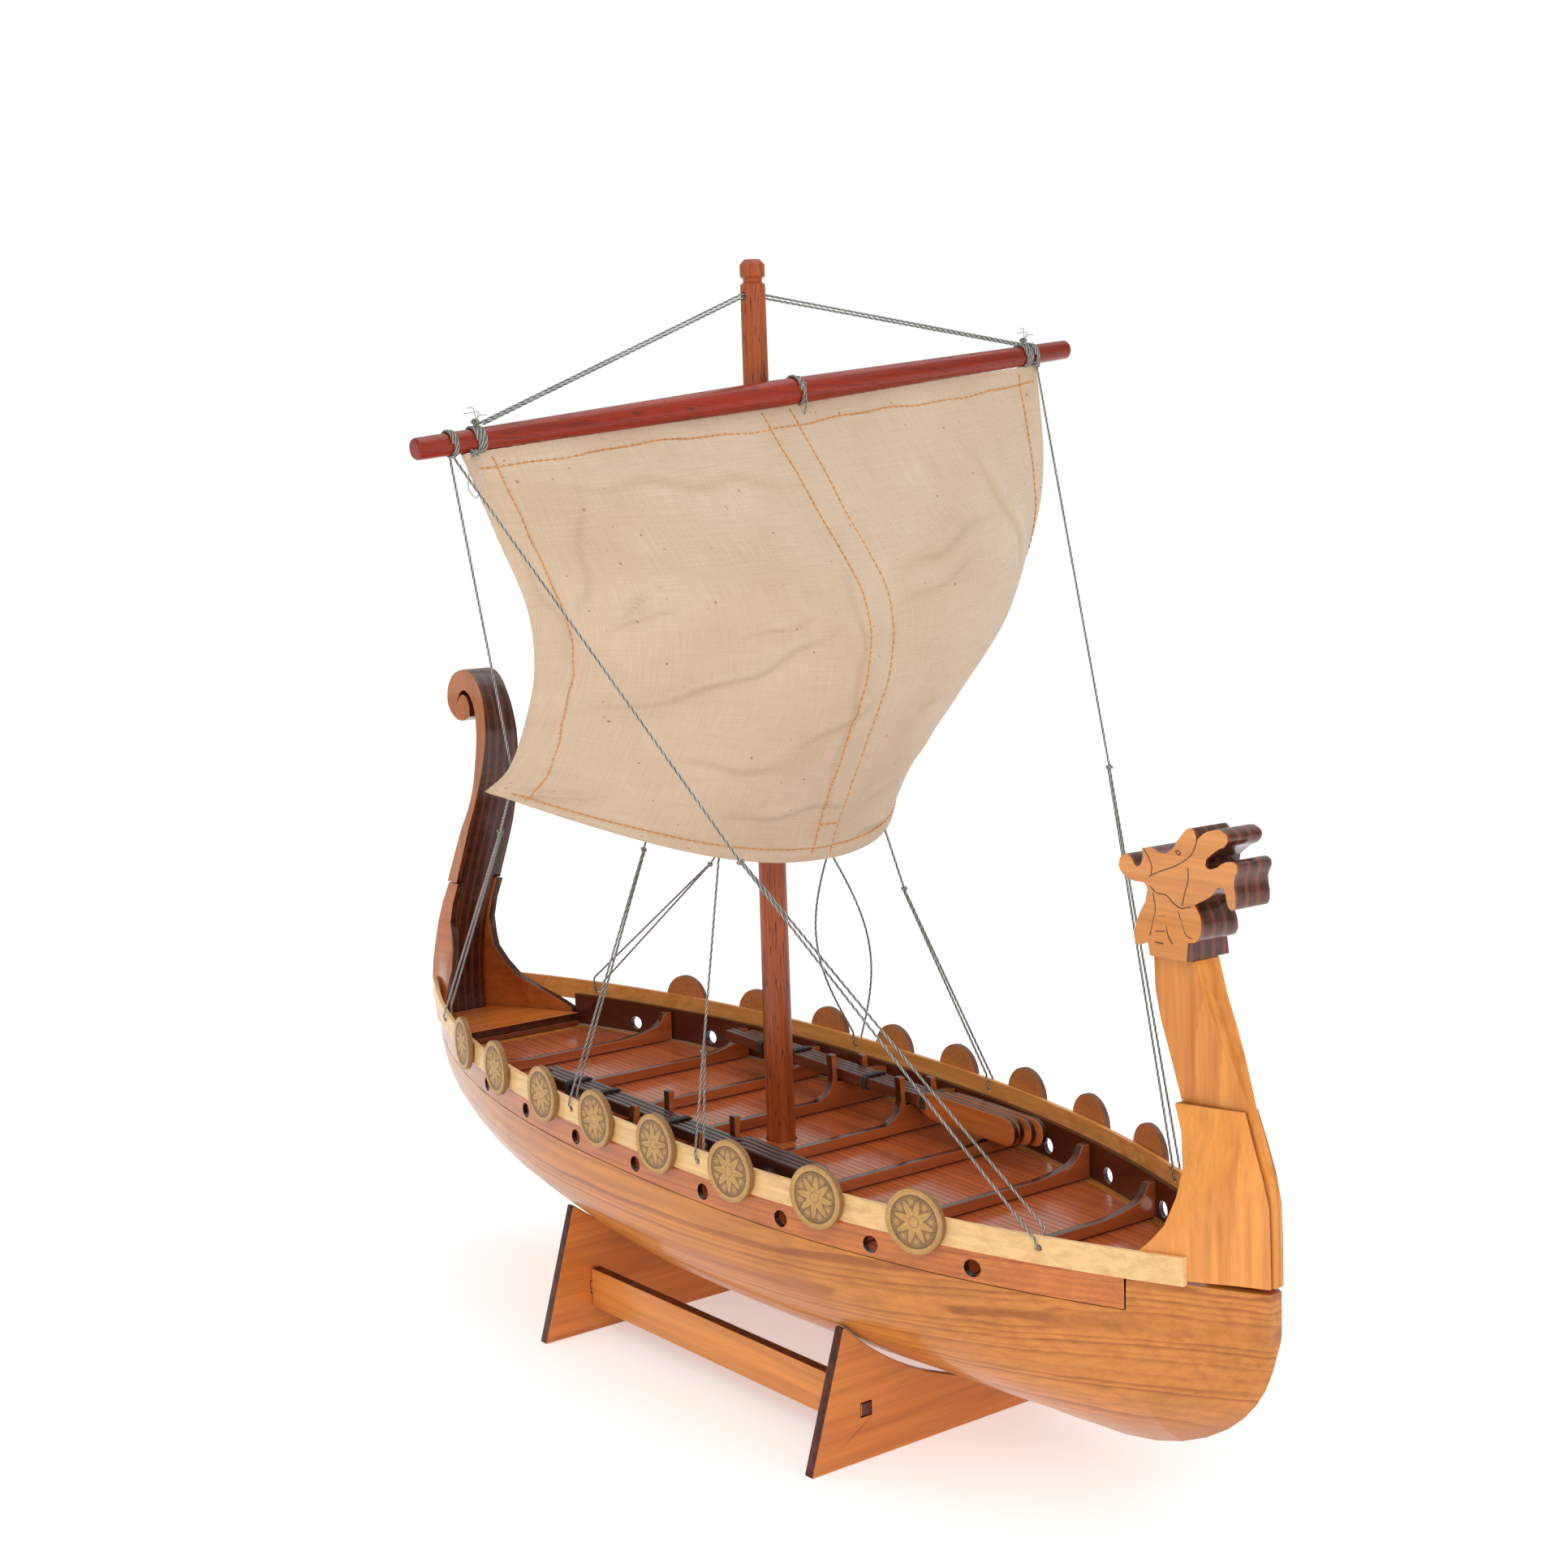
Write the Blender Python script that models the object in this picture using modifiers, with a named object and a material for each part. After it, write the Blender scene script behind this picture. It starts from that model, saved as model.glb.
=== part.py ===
"""A wooden longship model on its cradle stand, built piece by piece.

Frame: metres, +X to the bow, +Y to port, +Z up.  The origin is on the table,
under the middle of the ship.  Lengths below are given in millimetres times MM.
"""
import math

import bmesh
import bpy
from mathutils import Vector

MM = 0.001
GAP = 0.3 * MM                 # what is left between two pieces that touch

# ---- hull and sheer ------------------------------------------------------
HALF_BEAM = 61.3 * MM          # half breadth at the widest station
MIDSHIP_X = 4.8 * MM           # where the widest station is
BOW_REACH = 217.7 * MM         # midship to the point where the sides meet, forward
STERN_REACH = 234.6 * MM       # the same, aft
BOW_FULLNESS = 2.3             # exponent of the plan curve, forward
STERN_FULLNESS = 2.4           # exponent of the plan curve, aft
STEM_HALF_WIDTH = 2.6 * MM     # hull at its front edge
SHEER_SLOPE = 0.037            # fall of deck and gunwale towards the bow
DECK_Z = 75.2 * MM             # hull top and deck surface, at x = 0
BULWARK_HEIGHT = 12.3 * MM     # bulwark above the hull top
GUNWALE_RISE = 5.4 * MM        # rubbing strip above the bulwark
STRIP_HEIGHT = 8.0 * MM
STRIP_THICKNESS = 1.6 * MM
BULWARK_THICKNESS = 1.8 * MM
KEEL_Z = 19.2 * MM             # underside of the keel above the table
STEM_X = 219.2 * MM            # front edge of the hull
STERN_X = -214.3 * MM          # aft edge of the hull
FOREFOOT_LENGTH = 70.0 * MM    # reach of the rounded forefoot
ROCKER_LENGTH = 215.0 * MM     # reach of the keel's long rise to the stern
DEADRISE_POWER = 2.75          # how the section fills from keel to hull top
BOW_BLOCK_X = 184.8 * MM       # the hull stands higher forward of here
DECK_THICKNESS = 1.5 * MM
DECK_RIM = 4.5 * MM            # pale rim left around the deck sheet
DECK_AFT_X = -165.0 * MM
DECK_FORE_X = 176.0 * MM

# ---- bulwark, strips, shields ---------------------------------------------
OAR_HOLE_X = [x * MM for x in (-143, -106, -69, -32, 4.5, 40.5, 75.5, 109.5, 142.5)]
OAR_HOLE_DIAMETER = 5.3 * MM
OAR_HOLE_RISE = 4.1 * MM       # hole centre above the hull top
SHIELD_X = [x * MM for x in (-122, -86, -48, -13, 21.5, 58, 93, 127)]
SHIELD_DIAMETER = 19.4 * MM
SHIELD_THICKNESS = 2.0 * MM
SHIELD_DROP = 2.0 * MM         # shield centre below the top of the strip
STRIP_AFT_X = -214.0 * MM
STRIP_FORE_X = 200.0 * MM
LINE_HOLE_X = {"starboard": [x * MM for x in (-160, -31, 41, 163)],
               "port": [x * MM for x in (-163, -31, 41, 147)]}
LINE_HOLE_DIAMETER = 2.2 * MM
LINE_HOLE_DROP = 3.4 * MM      # line hole below the top of the strip

# ---- ribs and platform -----------------------------------------------------
RIB_X = [x * MM for x in (-126, -87, -49, -13, 24, 59, 98, 137)]
FORKED_RIBS = (3, 4)
RIB_THICKNESS = 3.0 * MM
RIB_HEIGHT = 3.6 * MM
KNEE_REACH = 23.0 * MM
PLATFORM_AFT_X = -205.0 * MM
PLATFORM_FORE_X = -167.6 * MM
PLATFORM_THICKNESS = 2.8 * MM
PLATFORM_RISE = 5.4 * MM       # platform top above the hull top, at its front edge
BEAM_LENGTH = 3.4 * MM

# ---- stem, head, stern post, cheeks -----------------------------------------
STEM_AFT_HALF = 5.3 * MM
STEM_EDGE_HALF = 1.6 * MM
HEAD_THICKNESS = 13.7 * MM     # at the snout
HEAD_BASE_THICKNESS = 17.0 * MM
HEAD_BASE_Z = 165.0 * MM
POST_THICKNESS = 20.3 * MM     # at the shoulder above the cheeks
SCROLL_THICKNESS = 12.0 * MM
SCROLL_Z = 218.0 * MM
SHOULDER_Z = 165.0 * MM        # the post thins from here up to the scroll
CHEEK_THICKNESS = 3.0 * MM
BOW_CHEEK_TOP_Z = 125.5 * MM
STERN_CHEEK_TOP_Z = 141.5 * MM

# ---- spars, sail, lines ------------------------------------------------------
MAST_X = 2.4 * MM
MAST_TOP_Z = 368.2 * MM
MAST_FOOT_RADIUS = 5.0 * MM
MAST_HEAD_RADIUS = 4.1 * MM
MAST_SOCKET_DEPTH = 9.0 * MM
LIFT_HOLE_Z = 356.5 * MM
SHROUD_HOLE_Z = 295.0 * MM
MAST_HOLE_DIAMETER = 2.8 * MM
YARD_LENGTH = 266.0 * MM
YARD_CENTRE_Z = 324.6 * MM
YARD_TILT = math.radians(6.7)  # port end up
YARD_RADIUS = 4.5 * MM
YARD_END_RADIUS = 3.3 * MM
LASHING_REACH = 112.0 * MM     # yard middle to where the lines are tied
LINE_DIAMETER = 0.8 * MM
FORE_BRACE_KNOT = {"starboard": (91, -78.3, 189.6), "port": (89.9, 71.4, 201.8)}
AFT_BRACE_KNOTS = {"starboard": ((-17, -87, 205.7), (-42.2, -78.1, 185.2)),
                   "port": ((-117.6, 60.2, 148.8),)}
SHROUD_KNOTS = {("starboard", "fore"): (34, -53.5, 120), ("starboard", "aft"): (-17.8, -38, 177),
                ("port", "fore"): (25.1, 38.4, 158.8), ("port", "aft"): (-17.5, 40.6, 167)}
SLACK_STRANDS = {("port", "aft"): (4.8, 7.2, 0.0)}
BRACE_TIE = {"starboard": (121.0, 1.2), "port": (115.5, 2.8)}
SAIL_THICKNESS = 1.0 * MM
STARBOARD_LEECH = ((12.5, -116.5, 305.6), (10.5, -106, 285), (8.5, -94.5, 262), (2, -88.5, 243),
                   (-6, -87, 227), (-15, -89, 210), (-23, -93.5, 202))
SAIL_SEAM = ((12.5, 0, 319.2), (38, 0, 289), (60, 0, 262), (61, 0, 238), (50, 0, 214),
             (36, 0, 190), (30, 0, 174.5))
PORT_LEECH = ((12.5, 116, 332.6), (12, 118.5, 305), (10, 115.5, 281), (6.5, 106, 258),
              (0, 87, 235), (-7, 68, 214), (-12, 60, 196))

# ---- oars ---------------------------------------------------------------------
OAR_AFT_X = -74.0 * MM
OAR_FORE_X = 84.0 * MM
OAR_SHAFT_HEIGHT = 4.0 * MM
OAR_BLADE_HEIGHT = 9.5 * MM
OAR_BLADE_RISE = 2.0 * MM      # blade above the shaft's upper edge
OAR_BLADE_LENGTH = 50.0 * MM
OAR_PAIR_THICKNESS = 4.4 * MM
OAR_MIDDLE_Y = 42.0 * MM
OAR_SLOT_WIDTH = 2 * OAR_PAIR_THICKNESS + 3 * GAP + 2.0 * MM
OAR_SLOT_DROP = 8.0 * MM       # slot bottom below the gunwale
PRONG_WIDTH = 3.0 * MM

# ---- stand ----------------------------------------------------------------------
PLATE_THICKNESS = 3.9 * MM
PLATE_FRONT_X = 90.7 * MM      # forward face of the front plate
PLATE_REAR_X = -59.3 * MM      # forward face of the rear plate
PLATE_HALF_BASE = 59.5 * MM
HORN_HALF_SPAN = 45.0 * MM
CRADLE_CLEARANCE = 0.4 * MM
CRADLE_RELIEF = 2.2 * MM       # deeper under the keel, so that the bilges carry the hull
RAIL_OUTER_Y = 39.8 * MM
RAIL_THICKNESS = 3.9 * MM
RAIL_BOTTOM_Z = 9.1 * MM
RAIL_HEIGHT = 14.0 * MM
TENON_HEIGHT = 4.0 * MM

COLLECTION = "longship_model"
CUTTERS = "longship_cutters"


# ---- scene and materials ------------------------------------------------------------
def fresh_scene():
    """Remove what is there, and make the collections for the parts and the cutters."""
    for old in list(bpy.data.objects):
        bpy.data.objects.remove(old, do_unlink=True)
    made = []
    for name in (COLLECTION, CUTTERS):
        group = bpy.data.collections.new(name)
        bpy.context.scene.collection.children.link(group)
        made.append(group)
    return made


def finish_of(name, colour, roughness=0.45):
    """A Principled material of one colour."""
    material = bpy.data.materials.new(name)
    material.use_nodes = True
    shader = material.node_tree.nodes["Principled BSDF"]
    shader.inputs["Base Color"].default_value = (*colour, 1.0)
    shader.inputs["Roughness"].default_value = roughness
    shader.inputs["Metallic"].default_value = 0.0
    return material


PARTS, CUTS = fresh_scene()
PINE = finish_of("varnished_pine", (0.56, 0.26, 0.08), 0.35)
PLY = finish_of("amber_ply", (0.58, 0.25, 0.07), 0.4)
REDWOOD = finish_of("red_bulwark", (0.42, 0.12, 0.04), 0.4)
DARK_WOOD = finish_of("dark_rib", (0.15, 0.04, 0.02), 0.45)
DECK_WOOD = finish_of("deck_veneer", (0.36, 0.12, 0.05), 0.4)
PALE_WOOD = finish_of("pale_strip", (0.90, 0.68, 0.38), 0.45)
BOARD = finish_of("shield_board", (0.52, 0.35, 0.13), 0.6)
SPAR = finish_of("mahogany_spar", (0.33, 0.07, 0.03), 0.35)
CANVAS = finish_of("canvas", (0.68, 0.53, 0.37), 0.9)
TWINE = finish_of("grey_twine", (0.24, 0.23, 0.21), 0.8)
OAR_WOOD = finish_of("dark_oar", (0.05, 0.025, 0.02), 0.4)


# ---- hull form -----------------------------------------------------------------------
def half_breadth(x):
    """Half breadth of the hull top and bulwark at x: a power curve each way."""
    if x > MIDSHIP_X:
        share = min((x - MIDSHIP_X) / BOW_REACH, 1.0)
        return max(HALF_BEAM * (1 - share ** BOW_FULLNESS), STEM_HALF_WIDTH)
    share = min((MIDSHIP_X - x) / STERN_REACH, 1.0)
    return max(HALF_BEAM * (1 - share ** STERN_FULLNESS), POST_THICKNESS / 2 + GAP)


def hull_top(x):
    """Height of the hull top and the deck at x."""
    return DECK_Z - SHEER_SLOPE * x


def bulwark_top(x):
    return hull_top(x) + BULWARK_HEIGHT


def gunwale(x):
    """Height of the top of the rubbing strips at x."""
    return bulwark_top(x) + GUNWALE_RISE


def keel(x):
    """Height of the keel line at x: a rounded forefoot, and a long rise to the stern."""
    rise = 0.0
    if x > STEM_X - FOREFOOT_LENGTH:
        share = min((x - STEM_X + FOREFOOT_LENGTH) / FOREFOOT_LENGTH, 1.0)
        rise = 1 - (1 - share ** 2.2) ** 0.5
    if x < STERN_X + ROCKER_LENGTH:
        share = min((STERN_X + ROCKER_LENGTH - x) / ROCKER_LENGTH, 1.0)
        rise = 1 - (1 - share ** 1.2) ** 0.526
    return KEEL_Z + rise * (hull_top(x) - 3 * MM - KEEL_Z)


def section_height(x, y):
    """Height of the hull's skin at x, y: the inverse of the section curve."""
    share = min(abs(y) / half_breadth(x), 1.0)
    return keel(x) + (1 - (1 - share) ** (1 / DEADRISE_POWER)) * (hull_top(x) - keel(x))


def steps(start, end, count):
    """count + 1 values from start to end."""
    return [start + (end - start) * i / count for i in range(count + 1)]


def smooth(value):
    """0 to 1 with level ends."""
    value = min(max(value, 0.0), 1.0)
    return value * value * (3 - 2 * value)


def table(value, rows):
    """Straight-line reading of y at value from (value, y) rows in rising order."""
    if value <= rows[0][0]:
        return rows[0][1]
    for (low, y_low), (high, y_high) in zip(rows, rows[1:]):
        if value <= high:
            return y_low + (y_high - y_low) * (value - low) / (high - low)
    return rows[-1][1]


# ---- makers ----------------------------------------------------------------------------
def place(mesh_or_curve, name, material, group=None):
    """Link new data as an object, with its material."""
    obj = bpy.data.objects.new(name, mesh_or_curve)
    (group or PARTS).objects.link(obj)
    mesh_or_curve.materials.append(material)
    return obj


def mesh_object(name, points, faces, material, group=None):
    """A mesh from points and faces, with its normals made to point out."""
    mesh = bpy.data.meshes.new(name)
    mesh.from_pydata([tuple(p) for p in points], [], faces)
    work = bmesh.new()
    work.from_mesh(mesh)
    bmesh.ops.recalc_face_normals(work, faces=work.faces)
    work.to_mesh(mesh)
    work.free()
    mesh.shade_smooth()
    mesh.set_sharp_from_angle(angle=math.radians(35))
    return place(mesh, name, material, group)


def loft(name, rings, material, group=None):
    """A closed solid through rings of equal point counts, capped at both ends."""
    count = len(rings[0])
    points = [p for ring in rings for p in ring]
    faces = [tuple(range(count))[::-1]]
    for row in range(len(rings) - 1):
        for i in range(count):
            j = (i + 1) % count
            base = row * count
            faces.append((base + i, base + j, base + count + j, base + count + i))
    last = (len(rings) - 1) * count
    faces.append(tuple(range(last, last + count)))
    return mesh_object(name, points, faces, material, group)


def board(name, outer, inner, material):
    """A board between two equal grids of points, closed round its border."""
    rows, columns = len(outer), len(outer[0])
    points = [p for row in outer for p in row] + [p for row in inner for p in row]
    shift = rows * columns
    faces = []
    for r in range(rows - 1):
        for c in range(columns - 1):
            a = r * columns + c
            quad = (a, a + 1, a + columns + 1, a + columns)
            faces.append(quad)
            faces.append(tuple(shift + i for i in reversed(quad)))
    border = [c for c in range(columns)]
    border += [r * columns + columns - 1 for r in range(1, rows)]
    border += [(rows - 1) * columns + c for c in range(columns - 2, -1, -1)]
    border += [r * columns for r in range(rows - 2, 0, -1)]
    for a, b in zip(border, border[1:] + border[:1]):
        faces.append((b, a, shift + a, shift + b))
    return mesh_object(name, points, faces, material)


def flat_outline(name, outline, thickness, material, resolution=4):
    """A board with a flat outline, extruded about its own plane.

    outline holds (u, v, kind) points, kind being "round" or "corner".
    """
    curve = bpy.data.curves.new(name, "CURVE")
    curve.dimensions = "2D"
    curve.fill_mode = "BOTH"
    curve.extrude = thickness / 2
    curve.resolution_u = resolution
    spline = curve.splines.new("BEZIER")
    spline.bezier_points.add(len(outline) - 1)
    spline.use_cyclic_u = True
    for point, (u, v, kind) in zip(spline.bezier_points, outline):
        point.co = (u, v, 0)
        handle = "AUTO" if kind == "round" else "VECTOR"
        point.handle_left_type = handle
        point.handle_right_type = handle
    return place(curve, name, material)


def upright_profile(name, outline, thickness, material, resolution=4):
    """A flat outline standing in the plane of X and Z."""
    obj = flat_outline(name, outline, thickness, material, resolution)
    obj.rotation_euler = (math.radians(90), 0, 0)
    return obj


def cross_profile(name, outline, thickness, x, material, resolution=4):
    """A flat outline standing across the ship, in the plane of Y and Z, at x."""
    obj = flat_outline(name, outline, thickness, material, resolution)
    obj.rotation_euler = (math.radians(90), 0, math.radians(90))
    obj.location = (x, 0, 0)
    return obj


def turned(name, profile, material, segments=20):
    """A turned piece about Z from (radius, height) points, top to bottom."""
    mesh = bpy.data.meshes.new(name)
    points = [(radius, 0, height) for radius, height in profile]
    edges = [(i, i + 1) for i in range(len(points) - 1)]
    mesh.from_pydata(points, edges, [])
    obj = place(mesh, name, material)
    screw = obj.modifiers.new("turn", "SCREW")
    screw.steps = segments
    screw.render_steps = segments
    screw.use_merge_vertices = True
    screw.merge_threshold = 0.00001
    screw.use_smooth_shade = True
    return obj


def rod(name, start, end, radius, segments=12):
    """A round cutter between two points."""
    start, end = Vector(start), Vector(end)
    mesh = bpy.data.meshes.new(name)
    work = bmesh.new()
    length = (end - start).length
    bmesh.ops.create_cone(work, cap_ends=True, segments=segments, radius1=radius,
                          radius2=radius, depth=length)
    work.to_mesh(mesh)
    work.free()
    obj = place(mesh, name, DARK_WOOD, CUTS)
    obj.location = (start + end) / 2
    obj.rotation_euler = (end - start).to_track_quat("Z", "Y").to_euler()
    as_cutter(obj)
    return obj


def as_cutter(obj):
    obj.hide_render = True
    obj.display_type = "WIRE"


def cut(obj, cutter):
    """Take a cutter away from a piece."""
    boolean = obj.modifiers.new(cutter.name, "BOOLEAN")
    boolean.operation = "DIFFERENCE"
    boolean.solver = "EXACT"
    boolean.object = cutter


def line(name, route):
    """A round line through the points of its route, with closed ends."""
    curve = bpy.data.curves.new(name, "CURVE")
    curve.dimensions = "3D"
    curve.bevel_depth = LINE_DIAMETER / 2
    curve.bevel_resolution = 1
    curve.use_fill_caps = True
    spline = curve.splines.new("POLY")
    spline.points.add(len(route) - 1)
    for point, place_at in zip(spline.points, route):
        point.co = (*place_at, 1)
    return place(curve, name, TWINE)


# ---- hull, deck, platform ------------------------------------------------------------------
def hull_ring(x, top):
    """Outline of the solid hull across the ship at x, from port top round to starboard."""
    width, low, high = half_breadth(x), keel(x), hull_top(x)
    side = []
    for share in (0.0, 0.06, 0.14, 0.25, 0.38, 0.52, 0.68, 0.85):
        breadth = max(width * (1 - (1 - share) ** DEADRISE_POWER), 0.4 * MM * (share > 0))
        side.append((breadth, low + share * (high - low)))
    side.append((width, top))
    port = [Vector((x, y, z)) for y, z in side[:0:-1]]
    starboard = [Vector((x, -y, z)) for y, z in side[1:]]
    return port + [Vector((x, 0, low))] + starboard


def make_hull():
    """The hull, carved from the solid, with a recess for the deck and a mast socket."""
    aft = [STERN_X + d * MM for d in (0, 1.5, 4, 8, 14, 22, 32, 46, 62)]
    middle = steps(STERN_X + 80 * MM, BOW_BLOCK_X - 50 * MM, 12)
    fore = [BOW_BLOCK_X - d * MM for d in (36, 22, 10, 0.2)]
    rings = [hull_ring(x, hull_top(x)) for x in aft + middle + fore]
    block = [BOW_BLOCK_X, BOW_BLOCK_X + 9 * MM, BOW_BLOCK_X + 17 * MM]
    block += [STEM_X - d * MM for d in (12, 7.5, 4, 1.6, 0.4)]
    for x in block:
        rings.append(hull_ring(x, bow_block_top(x)))
    hull = loft("hull", rings, PINE)
    recess = deck_slab("deck_recess", DECK_RIM, -DECK_THICKNESS - GAP, 4 * MM, DARK_WOOD, CUTS)
    as_cutter(recess)
    cut(hull, recess)
    floor = hull_top(MAST_X) - MAST_SOCKET_DEPTH
    socket = rod("mast_socket", (MAST_X, 0, floor - GAP), (MAST_X, 0, hull_top(MAST_X) + 5 * MM),
                 MAST_FOOT_RADIUS + GAP, 20)
    cut(hull, socket)


def bow_block_top(x):
    """Top of the raised bow block: level with the underside of the strips."""
    return gunwale(x) - STRIP_HEIGHT


def deck_slab(name, inset, low, high, material, group=None):
    """A slab with the deck's plan, from low to high about the hull top."""
    rings = []
    for x in steps(DECK_AFT_X, DECK_FORE_X, 20):
        width, base = half_breadth(x) - inset, hull_top(x)
        corners = ((width, base + low), (width, base + high))
        rings.append([Vector((x, side * y, z)) for side, y, z in (
            (1, *corners[0]), (1, *corners[1]), (-1, *corners[1]), (-1, *corners[0]))])
    rings[0] = [p + Vector((0 if group else GAP, 0, 0)) for p in rings[0]]
    rings[-1] = [p - Vector((0 if group else GAP, 0, 0)) for p in rings[-1]]
    return loft(name, rings, material, group)


def make_deck():
    """The deck sheet, let into the hull top, with the mast's hole."""
    deck = deck_slab("main_deck", DECK_RIM + GAP, -DECK_THICKNESS, 0.0, DECK_WOOD)
    floor = hull_top(MAST_X)
    hole = rod("mast_hole", (MAST_X, 0, floor - 5 * MM), (MAST_X, 0, floor + 5 * MM),
               MAST_FOOT_RADIUS + GAP, 20)
    cut(deck, hole)


def make_platform():
    """The raised stern platform and the beam under its front edge."""
    top = hull_top(PLATFORM_FORE_X) + PLATFORM_RISE
    for name, aft, low, high, material in (
            ("stern_platform", PLATFORM_AFT_X, top - PLATFORM_THICKNESS, top, PLY),
            ("stern_beam", PLATFORM_FORE_X - BEAM_LENGTH, None, top - PLATFORM_THICKNESS - GAP,
             DARK_WOOD)):
        rings = []
        for x in steps(aft, PLATFORM_FORE_X, 6):
            width = half_breadth(x - 1 * MM) - CHEEK_THICKNESS - 2 * GAP
            floor = hull_top(x) + GAP if low is None else low
            rings.append([Vector((x, y, z)) for y, z in (
                (width, floor), (width, high), (-width, high), (-width, floor))])
        loft(name, rings, material)


# ---- bulwarks, strips, shields -----------------------------------------------------------------
def side_board(name, side, x_range, count, inner, outer, low, high, material):
    """A thin board that follows the plan curve on one side of the ship."""
    out_grid, in_grid = [], []
    for x in steps(*x_range, count):
        width = half_breadth(x)
        heights = (low(x), high(x))
        out_grid.append([Vector((x, side * (width + outer), z)) for z in heights])
        in_grid.append([Vector((x, side * (width + inner), z)) for z in heights])
    return board(name, out_grid, in_grid, material)


def make_sides():
    """Bulwarks with oar holes, rubbing strips with line holes, and the shields."""
    for side, word in ((-1, "starboard"), (1, "port")):
        bulwark = side_board(word + "_bulwark", side, (PLATFORM_FORE_X - 3.6 * MM,
                             BOW_BLOCK_X - GAP - 0.2 * MM), 26, -BULWARK_THICKNESS, 0.0,
                             lambda x: hull_top(x) + GAP, bulwark_top, REDWOOD)
        for i, x in enumerate(OAR_HOLE_X):
            z = hull_top(x) + OAR_HOLE_RISE
            cutter = rod(f"{word}_oar_hole_{i + 1}", (x, side * (half_breadth(x) - 8 * MM), z),
                         (x, side * (half_breadth(x) + 8 * MM), z), OAR_HOLE_DIAMETER / 2)
            cut(bulwark, cutter)
        strip = side_board(word + "_gunwale_strip", side, (STRIP_AFT_X, STRIP_FORE_X), 32,
                           GAP, GAP + STRIP_THICKNESS, lambda x: gunwale(x) - STRIP_HEIGHT,
                           gunwale, PALE_WOOD)
        for i, x in enumerate(LINE_HOLE_X[word]):
            z = gunwale(x) - LINE_HOLE_DROP
            cutter = rod(f"{word}_line_hole_{i + 1}", (x, side * (half_breadth(x) - 6 * MM), z),
                         (x, side * (half_breadth(x) + 6 * MM), z), LINE_HOLE_DIAMETER / 2, 10)
            cut(strip, cutter)
        for i, x in enumerate(SHIELD_X):
            make_shield(f"{word}_shield_{i + 1}", side, x)


def make_shield(name, side, x):
    """A round shield that lies flat on the strip."""
    mesh = bpy.data.meshes.new(name)
    work = bmesh.new()
    bmesh.ops.create_cone(work, cap_ends=True, segments=28, radius1=SHIELD_DIAMETER / 2,
                          radius2=SHIELD_DIAMETER / 2, depth=SHIELD_THICKNESS)
    work.to_mesh(mesh)
    work.free()
    obj = place(mesh, name, BOARD)
    reach = SHIELD_DIAMETER / 2
    ends = [Vector((x + d, side * half_breadth(x + d), 0)) for d in (-reach, reach)]
    along = (ends[1] - ends[0]).normalized()
    outward = Vector((-along.y, along.x, 0)) * side
    bulge = max((Vector((x + d, side * half_breadth(x + d), 0)) - ends[0]).dot(outward)
                for d in steps(-reach, reach, 8))
    middle = ends[0] + along * (ends[1] - ends[0]).length / 2
    stand_off = bulge + STRIP_THICKNESS + 2 * GAP + SHIELD_THICKNESS / 2 + 0.1 * MM
    spot = middle + outward * stand_off
    obj.location = (spot.x, spot.y, gunwale(x) - SHIELD_DROP)
    obj.rotation_euler = outward.to_track_quat("Z", "Y").to_euler()


# ---- ribs ------------------------------------------------------------------------------------------
def make_ribs():
    """Cross ribs with a knee at each side; two of them carry forks for the oars."""
    for i, x in enumerate(RIB_X):
        nearest = min(half_breadth(x + d) for d in (-RIB_THICKNESS / 2, RIB_THICKNESS / 2))
        edge = nearest - BULWARK_THICKNESS - GAP
        low = hull_top(x) + GAP + SHEER_SLOPE * RIB_THICKNESS / 2
        bar = low + RIB_HEIGHT
        head = bulwark_top(x) - 0.8 * MM
        side = [(edge, low, "corner"), (edge, head, "corner")]
        if i in FORKED_RIBS:
            inner = OAR_MIDDLE_Y - OAR_SLOT_WIDTH / 2
            outer = OAR_MIDDLE_Y + OAR_SLOT_WIDTH / 2
            floor = gunwale(x) - OAR_SLOT_DROP
            tip = gunwale(x)
            side += [(outer + PRONG_WIDTH, tip - 6 * MM, "corner"),
                     (outer + PRONG_WIDTH * 0.7, tip - 0.5 * MM, "corner"),
                     (outer, tip - 0.5 * MM, "corner"), (outer, floor, "corner"),
                     (inner, floor, "corner"), (inner, tip + 2 * MM, "corner"),
                     (inner - PRONG_WIDTH * 0.8, tip + 2 * MM, "corner"),
                     (inner - PRONG_WIDTH, bar + 4 * MM, "round"),
                     (inner - 3 * PRONG_WIDTH, bar, "corner")]
        else:
            side += [(edge - 3.2 * MM, head, "corner"),
                     (edge - KNEE_REACH * 0.24, bar + (head - bar) * 0.5, "round"),
                     (edge - KNEE_REACH * 0.52, bar + 1.4 * MM, "round"),
                     (edge - KNEE_REACH, bar, "corner")]
        outline = side + [(-y, z, kind) for y, z, kind in reversed(side)]
        cross_profile(f"rib_{i + 1}", outline, RIB_THICKNESS, x, DARK_WOOD, 3)


# ---- bow ----------------------------------------------------------------------------------------------
STEM_AFT = [(z * MM, x * MM) for z, x in (
    (76, 199), (100, 199.5), (109, 198), (115, 196), (120, 193.3), (126, 190.4), (138, 186.4),
    (147, 183.2), (155, 181.4), (165, 181))]
STEM_FORE = [(z * MM, x * MM) for z, x in (
    (76, 220.3), (100, 220), (107, 218.5), (115, 215.6), (126, 211.6), (139, 206.5),
    (147.5, 202.4), (158, 197.4), (165, 195.3))]
STEM_EDGE = [(z * MM, y * MM) for z, y in ((126, 1.6), (139, 3.0), (150, 4.4), (165, 5.3))]
BOW_CHEEK_AFT = [(z * MM, x * MM) for z, x in (
    (76, 185.3), (84, 186), (88, 190), (93, 193.5), (101, 195.6), (109, 196), (118, 194),
    (125.5, 191))]


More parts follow.
